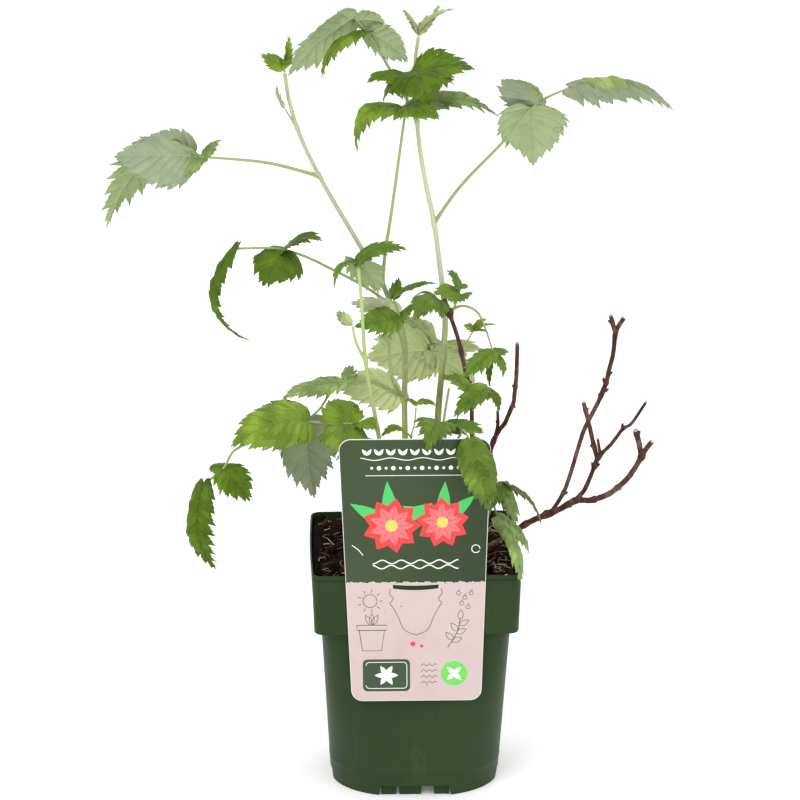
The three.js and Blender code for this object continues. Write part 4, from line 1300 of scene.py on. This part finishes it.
def grow_compost():
    """The body of the compost, and loose crumbs and straw on its top."""
    dark = compost_finish("compost_dark", (12, 8, 6), (34, 22, 16))
    brown = compost_finish("compost_brown", (26, 16, 11), (62, 41, 29))
    rusty = compost_finish("compost_rusty", (48, 28, 18), (94, 64, 45))
    straw = grained("compost_straw", (128, 98, 74), 0.8)
    pale = grained("compost_pale_straw", (182, 160, 138), 0.75)
    grit = grained("compost_grit", (216, 210, 200), 0.85)

    body = Skin(dark, brown)
    inset = WALL + 2 * GAP
    edge = collar_ring(SOIL_TOP, inset)
    rings = [body_ring(z, inset) for z in (FLOOR + inset + GAP, MOULD_LINE, 65, COLLAR_FOOT)]
    rings.append(collar_ring(COLLAR_FOOT + inset, inset))
    for scale in np.linspace(1, 0.02, 44):
        ring = edge * [scale, scale, 1]
        ring[:, 2] = soil_height(ring)
        rings.append(ring)
    loft(body, rings)
    body.make("compost", "soil", ["soil"])

    dice = dice_for("", 21)
    ball = bmesh.new()
    bmesh.ops.create_icosphere(ball, subdivisions=2, radius=1)
    points = np.array([v.co for v in ball.verts])
    faces = np.array([[v.index for v in f.verts] for f in ball.faces])
    ball.free()
    lumps = Skin(dark, brown, rusty, grit)
    for _ in range(CRUMBS):
        x, y = dice.uniform(-CRUMB_SPREAD, CRUMB_SPREAD, 2)
        size = CRUMB_LEAST + CRUMB_MORE * dice.random() ** 2.5
        shape = points * dice.uniform(0.55, 1.2, 3) * size
        shape = shape * (1 + 0.28 * np.sin(points @ dice.normal(size=(3, 3)) * 2.2).sum(1))[:, None]
        z = soil_at(x, y) + size * dice.uniform(-0.2, 0.5)
        kind = dice.choice(len(CRUMB_SHARES), p=CRUMB_SHARES)
        shape = shape * (GRIT_SIZE if kind == GRIT else 1)
        lumps.add(shape + [x, y, z], faces, kind=kind)
    lumps.make("compost_crumbs", "soil")

    fibres = Skin(straw, pale, rusty)
    shares = np.linspace(0, 1, 7)
    for _ in range(FIBRES):
        x, y = dice.uniform(-FIBRE_SPREAD, FIBRE_SPREAD, 2)
        length = dice.uniform(*FIBRE_LONG)
        heading = dice.uniform(0, 2 * math.pi)
        cosine, sine = math.cos(heading), math.sin(heading)
        z = soil_at(x, y) + dice.uniform(0.3, 2.2)
        bend = dice.uniform(-0.25, 0.25, 2)[0] * length
        ahead = np.array([cosine, sine, dice.uniform(-0.15, 0.25)])
        start = np.array([x, y, z]) - ahead * length / 2
        middle = np.array([x - bend * sine, y + bend * cosine, z + 0.6])
        line = np.array([start, middle, start + ahead * length])
        line[:, :2] = np.clip(line[:, :2], -FIBRE_LIMIT, FIBRE_LIMIT)
        thick = dice.uniform(*FIBRE_THICK) * (1 - 0.5 * shares)
        rings = rings_along(Route(line), shares, thick, 5)
        loft(fibres, rings, dice.choice(len(FIBRE_SHARES), p=FIBRE_SHARES))
    fibres.make("compost_fibres", "soil")


# ---- the label ----
PRINT_EDGE = 0.4
TORN_LINE = 150.6
GREEN_HIGH = 0.06
PINK_HIGH = 0.05
PANEL_STEP = 0.3
INKS = {
    "white": (240, 240, 232), "red": (222, 52, 50), "pink": (240, 108, 112), "leaf_green": (62, 186, 92),
    "dark_green": (42, 64, 40), "line": (84, 70, 66), "bright_green": (104, 198, 84),
    "yellow": (232, 196, 90),
}
INK_FOOT = 0.05
INK_TOP = 0.11
INK_LEVEL = 0.006


def on_card(x, z, lift):
    """A point on the leaning card, at a distance in front of its face."""
    x, z = np.broadcast_arrays(np.asarray(x, float), np.asarray(z, float))
    above = z - POT_HEIGHT
    front = -(POT_HALF + RIM_BOW + GAP) - LABEL_THICK - LABEL_LEAN * above
    return np.stack([x + LABEL_ASIDE + LABEL_SLANT * above, front - lift, z], -1)


def plate(skin, outline, low, high, kind=0, holes=()):
    """A flat plate on the card between two distances from its face. Outlines run anticlockwise."""
    loops = [np.asarray(loop, float) for loop in (outline, *holes)]
    flat = np.concatenate(loops)
    triangles = np.array(tessellate_polygon([[Vector((x, z, 0)) for x, z in loop] for loop in loops]))
    a, b, c = (flat[triangles[:, i]] for i in range(3))
    wrong = (b[:, 0] - a[:, 0]) * (c[:, 1] - a[:, 1]) < (b[:, 1] - a[:, 1]) * (c[:, 0] - a[:, 0])
    triangles[wrong] = triangles[wrong][:, ::-1]
    count = len(flat)
    rings = np.split(np.arange(count), np.cumsum([len(loop) for loop in loops])[:-1])
    sides = [walls(ring, count) for ring in rings]
    points = np.concatenate([on_card(*flat.T, high), on_card(*flat.T, low)])
    skin.add(points, triangles, triangles[:, ::-1] + count, *sides, kind=kind)


def beside(line, width):
    """Steps to the left of a flat line, by half a width, at each of its points."""
    ahead = units(np.gradient(np.asarray(line, float), axis=0))
    return np.stack([-ahead[:, 1], ahead[:, 0]], -1) * width / 2


def circle(x, z, radius, start=0.0, end=360.0, steps=28):
    angles = np.radians(np.linspace(start, end, steps))
    return np.column_stack([x + radius * np.cos(angles), z + radius * np.sin(angles)])


def petal(x, z, angle, length, wide, steps=12):
    """The outline of a leaf or petal that points away from (x, z)."""
    share = np.linspace(0, 1, steps)
    half = wide / 2 * np.sin(math.pi * share**0.8)
    right = np.column_stack([share * length, -half])
    left = np.column_stack([share * length, half])
    cosine, sine = math.cos(math.radians(angle)), math.sin(math.radians(angle))
    turn = np.array([[cosine, sine], [-sine, cosine]])
    return np.concatenate([right[:-1], left[:0:-1]]) @ turn + [x, z]


def bends(radius, steps, *corners):
    """Quarter circles; each corner is its centre and the angle that it starts at."""
    return np.concatenate([circle(x, z, radius, turn, turn + 90, steps) for x, z, turn in corners])


def rounded_box(low_x, low_z, high_x, high_z, radius):
    left, right, foot, top = low_x + radius, high_x - radius, low_z + radius, high_z - radius
    return bends(radius, 7, (left, foot, 180), (right, foot, 270), (right, top, 0), (left, top, 90))


def card_side(z):
    share = (z - LABEL_FOOT) / (LABEL_TOP - LABEL_FOOT)
    return LABEL_FOOT_HALF + (LABEL_TOP_HALF - LABEL_FOOT_HALF) * share


def card_end(z, inset=0.0):
    """Both round corners of the card's top or foot."""
    side, turn = (1, 0) if z == LABEL_TOP else (-1, 180)
    x = side * (card_side(z) - LABEL_CORNER)
    middle = z - side * LABEL_CORNER
    return bends(LABEL_CORNER - inset, 9, (x, middle, turn), (-x, middle, turn + 90))


def slot_outline(spread):
    """The slot that the tongue was cut from: it sags a little in its middle."""
    x = np.linspace(-WINDOW_HALF - spread, WINDOW_HALF + spread, 25)
    sag = 1.2 * (1 - (x / WINDOW_HALF) ** 2)
    lower = np.column_stack([x, WINDOW_FOOT + 0.2 - spread - sag])
    upper = np.column_stack([x, WINDOW_TOP + spread - 0.6 * sag])
    return np.concatenate([lower, upper[::-1]])


def torn_edge():
    """The ragged line where the dark print gives way to the pale one."""
    side = card_side(TORN_LINE) - PRINT_EDGE
    x = np.linspace(-side, side, 80)
    waves = [(0.35, 0.9, 1), (0.3, 2.3, 0), (0.22, 5.1, 2), (0.16, 11.3, 0)]
    ragged = sum(high * np.sin(often * x + shift) for high, often, shift in waves)
    return np.column_stack([x, TORN_LINE + ragged])


def dark_print():
    green = Finish("label_dark_print", 0.36, Specular_IOR_Level=0.2)
    colour = green.ramp(green.noise(16, 4), (0.3, (54, 68, 43)), (0.7, (62, 77, 50)))
    # painted light: the dark print is lighter at the card's left and darker towards its right, as the light
    # falls on it
    colour = green.overlay(colour, green.axis("X"), -0.02, 0.05, 0.8, (40, 54, 31))
    colour = green.overlay(colour, green.noise(330, 3), 0.7, 0.78, 0.5, (40, 44, 32))
    green.drive("Base Color", colour)
    green.relief(green.noise(800), 0.00006, 0.5)
    return green.material


def pale_print():
    pink = Finish("label_pale_print", 0.4, Specular_IOR_Level=0.5)
    stain = pink.noise(38, 6, None, 0.7)
    colour = pink.overlay((194, 175, 173), stain, 0.5, 0.8, 0.5, (180, 156, 150))
    colour = pink.overlay(colour, pink.noise(420, 2), 0.735, 0.765, 0.85, (70, 56, 46))
    pink.drive("Base Color", colour)
    pink.relief(pink.noise(800), 0.00006, 0.5)
    return pink.material


def hook(card):
    """The tongue: back over the rim from the card's back, then down inside the wall."""
    inside = -(POT_HALF + RIM_BOW - WALL - 3 * GAP)
    middle = POT_HEIGHT + GAP + LABEL_THICK / 2
    start = on_card(0, middle, -LABEL_THICK / 2)[1:]
    line = np.array([
        start, (start[0] + 0.8, middle), (inside - 0.4, middle), (inside + 0.4, middle - 0.5),
        (inside + LABEL_THICK / 2, SOIL_TOP + 1),
    ])
    up = beside(line, LABEL_THICK)
    left, right = LABEL_ASIDE - HOOK_WIDE / 2, LABEL_ASIDE + HOOK_WIDE / 2
    corners = zip(line - up, line + up)
    loft(card, [[(right, *a), (right, *b), (left, *b), (left, *a)] for a, b in corners])


class Print(Skin):
    """Ink on the card. Where shapes overlap, the one on the higher level shows."""

    def __init__(self):
        super().__init__(*[grained(f"ink_{name}", colour, 0.4) for name, colour in INKS.items()])

    def fill(self, ink, outline, level=0):
        plate(self, outline, INK_FOOT, INK_TOP + INK_LEVEL * level, list(INKS).index(ink))

    def draw(self, ink, width, line, level=0):
        """A line of even width."""
        side = beside(line, width)
        left, right = (line + side).T, (line - side).T
        top = INK_TOP + INK_LEVEL * level
        edges = [(right, INK_FOOT), (left, INK_FOOT), (left, top), (right, top)]
        loft(self, np.stack([on_card(*edge, lift) for edge, lift in edges], 1), list(INKS).index(ink))


def ripple(x, z, high, often, shift=0.0):
    """A wave along x about the level z."""
    return np.column_stack([x, z + high * np.sin(x * often + shift)])


def spoke(x, z, angle, *distances):
    """Points at distances from (x, z) along one way."""
    way = math.radians(angle)
    return [(x + d * math.cos(way), z + d * math.sin(way)) for d in distances]


def print_flower(ink, x, z, size, shift, sprouts):
    """A flower: leaves behind it, two rings of petals with their middle lines, and its eye."""
    for i, angle in enumerate(sprouts):
        ink.fill("leaf_green", petal(x, z, angle + shift / 2, 30 * size, 9 * size), i)
    for i in range(9):
        angle = 40 * i + shift
        ink.fill("red", petal(x, z, angle, 18.5 * size, 13 * size), 3 + i)
        ink.fill("pink", petal(x, z, angle, 14 * size, 6.5 * size), 12 + i)
        ink.draw("red", 0.4, spoke(x, z, angle, 3, 7, 11 * size), 21)
    ink.fill("yellow", circle(x, z, 4 * size, 0, 340, 20), 22)


def print_dark_panel(ink):
    """A garland of small leaves, beads between two rules, two flowers and a plait."""
    for x in np.linspace(-30, 30, 9):
        for angle in (55, 125):
            ink.fill("white", petal(x, 236, angle, 5.2, 2.2))
    rule = np.linspace(-34, 34, 60)
    ink.draw("white", 0.5, ripple(rule, 233.5, 0.8, 1 / 3.2))
    for x in np.linspace(-27, 27, 13):
        ink.fill("white", circle(x, 227.5, 0.9 + 0.5 * (round(x / 4.5) % 2), 0, 342, 18))
    ink.draw("white", 0.4, [(x, 222.5) for x in (-31, -10, 10, 31)])
    print_flower(ink, -15, 189, 1.0, 0, (150, 30, 95))
    print_flower(ink, 17, 191, 0.92, 12, (150, 35, 80))
    rule = np.linspace(-27, 27, 80)
    for drop in (0, 3.4):
        ink.draw("white", 0.7, ripple(rule, 164.5 - drop, 1.2, 1 / 1.9, drop))
    ink.draw("white", 0.5, [(-40, 176), (-36, 173), (-33, 169)])
    ink.draw("white", 0.5, circle(38, 173, 2.6, 0, 330))


def print_pale_panel(ink):
    """The cut of the tongue, and a sun, rain, a sprig, a flower pot, a dark tag, waves and a disc."""
    half = [(15.9, 146.3), (16.6, 143), (14.3, 139.4), (16.3, 136.4), (14.7, 133.8), (12.9, 130.5)]
    half += [(11, 126.6), (9.6, 122.6), (8, 119), (5, 116.6), (0, 114.6)]
    shield = Route([(x, 0, z) for x, z in half]).at(np.linspace(0, 1, 50))[:, [0, 2]]
    for side in (1, -1):
        ink.draw("line", 0.4, shield * [side, 1])
    ink.draw("line", 0.4, circle(-29, 138, 4.4, 0, 352))
    for angle in range(0, 360, 40):
        ink.draw("line", 0.4, spoke(-29, 138, angle, 5.8, 8))
    for x, z in ((27, 143), (31, 140), (35, 143), (29, 136), (33, 133.5)):
        ink.draw("line", 0.35, circle(x, z, 1.3, 0, 350, 14))
        ink.draw("line", 0.3, [(x, z + 1.3), (x + 0.8, z + 3)])
    ink.draw("line", 0.45, [(20, 106), (24, 112), (27, 119), (28, 126)])
    sprig = [(22.6, 110, 20), (25.6, 115.5, 25), (27.5, 121, 30), (23.4, 111, 130), (26.2, 117, 125)]
    for x, z, angle in [*sprig, (28, 125, 85)]:
        ink.draw("line", 0.35, petal(x, z, angle, 7, 3.4))
    ink.draw("line", 0.45, [(-36, 118), (-20, 118), (-22, 104), (-34, 104), (-36, 118)])
    ink.draw("line", 0.45, [(-37.5, 121.5), (-18.5, 121.5), (-18.5, 118), (-37.5, 118), (-37.5, 121.5)])
    for angle in (60, 90, 120):
        ink.draw("line", 0.35, petal(-28, 121.5, angle, 8, 3.2))
    ink.fill("red", circle(-2, 108.5, 1.6, 0, 340, 18))
    ink.fill("red", circle(3.5, 107, 1.1, 0, 340, 18))
    ink.fill("dark_green", rounded_box(-34, 76, -4, 98, 3))
    for i in range(6):
        ink.fill("white", petal(-19, 87, 60 * i, 7.5, 3.4), 2 + i)
    ink.draw("white", 0.4, rounded_box(-32, 78, -6, 96, 2.2), 2)
    ink.fill("bright_green", circle(24, 88, 8.4, 0, 350, 40))
    for i in range(4):
        ink.fill("white", petal(24, 88, 45 + 90 * i, 6.2, 3), 2 + i)
    waves = np.linspace(3, 13, 30)
    for z in (94, 90, 86, 82):
        ink.draw("line", 0.35, ripple(waves, z, 0.7, 1.7))


def grow_label():
    """The card with its slot and tongue, the dark and the pale print, and the drawings on them."""
    card = Skin(grained("label_card_white", (222, 218, 212), 0.42))
    outline = np.concatenate([card_end(LABEL_FOOT), card_end(LABEL_TOP)])
    plate(card, outline, -LABEL_THICK, 0, 0, [slot_outline(0)[::-1]])
    hook(card)
    card.make("label_card", "label_card", ["label"], smooth=False)

    panels = Skin(dark_print(), pale_print())
    torn = torn_edge()
    upper = np.concatenate([torn, card_end(LABEL_TOP, PRINT_EDGE)])
    plate(panels, upper, 0, GREEN_HIGH, 0)
    lower = np.concatenate([card_end(LABEL_FOOT, PRINT_EDGE), torn[::-1] - [0, PANEL_STEP]])
    plate(panels, lower, 0, PINK_HIGH, 1, [slot_outline(0.1)[::-1]])
    panels.make("label_panels", "label_card", smooth=False)

    ink = Print()
    print_dark_panel(ink)
    print_pale_panel(ink)
    ink.make("label_ink", "label_card", smooth=False)


# ---- the stage ----
LAMPS = [
    ("key_light", (-0.9, -1.5, 1.6), 1.2, 18),
    ("fill_light", (1.5, -1.1, 0.9), 1.4, 7),
    ("back_light", (0.4, 1.5, 1.4), 1.4, 6),
]
LIT_POINT = Vector((0, 0, 0.25))
SEEN_POINT = Vector((-0.009, 0, 0.2503))
VIEW_YAW = 1.5
VIEW_FALL = 16.5
VIEW_AWAY = 2.6
FLOOR_HALF = 6
WHITE = (1, 1, 1, 1)


def facing(thing, way):
    thing.rotation_euler = way.to_track_quat("-Z", "Y").to_euler()


def grow_stage():
    """A pale floor, soft studio light and the camera."""
    scene = bpy.context.scene
    glow = {"Emission_Color": WHITE, "Emission_Strength": 0.12}
    mesh = bpy.data.meshes.new("stage_floor")
    corners = [(FLOOR_HALF * x, FLOOR_HALF * y, 0) for x, y in ((-1, -1), (1, -1), (1, 1), (-1, 1))]
    mesh.from_pydata(corners, [], [(0, 1, 2, 3)])
    mesh.materials.append(grained("stage_floor", (250, 250, 250), 0.9, **glow))
    stage = placed("stage_floor", mesh)

    scene.world = bpy.data.worlds.new("studio")
    scene.world.use_nodes = True
    backdrop = scene.world.node_tree.nodes["Background"]
    backdrop.inputs["Color"].default_value = WHITE
    backdrop.inputs["Strength"].default_value = 1.0
    for name, place, size, power in LAMPS:
        light = bpy.data.lights.new(name, "AREA")
        light.size = size
        light.energy = power
        lamp = placed(name, light)
        lamp.location = place
        facing(lamp, LIT_POINT - lamp.location)

    yaw, fall = math.radians(VIEW_YAW), math.radians(VIEW_FALL)
    forward = Vector((math.sin(yaw) * math.cos(fall), math.cos(yaw) * math.cos(fall), -math.sin(fall)))
    camera = bpy.data.cameras.new("camera")
    camera.sensor_width = 36
    camera.lens = 182.8
    camera.clip_start = 0.05
    camera.clip_end = 50
    scene.camera = placed("camera", camera)
    scene.camera.location = SEEN_POINT - VIEW_AWAY * forward
    facing(scene.camera, forward)
    scene.view_settings.view_transform = "Standard"
    scene.view_settings.look = "None"


grow_stage()
grow_pot()
grow_compost()
grow_label()
grow_old_canes()
grow_green_canes()
grow_stalks()
grow_leaves()
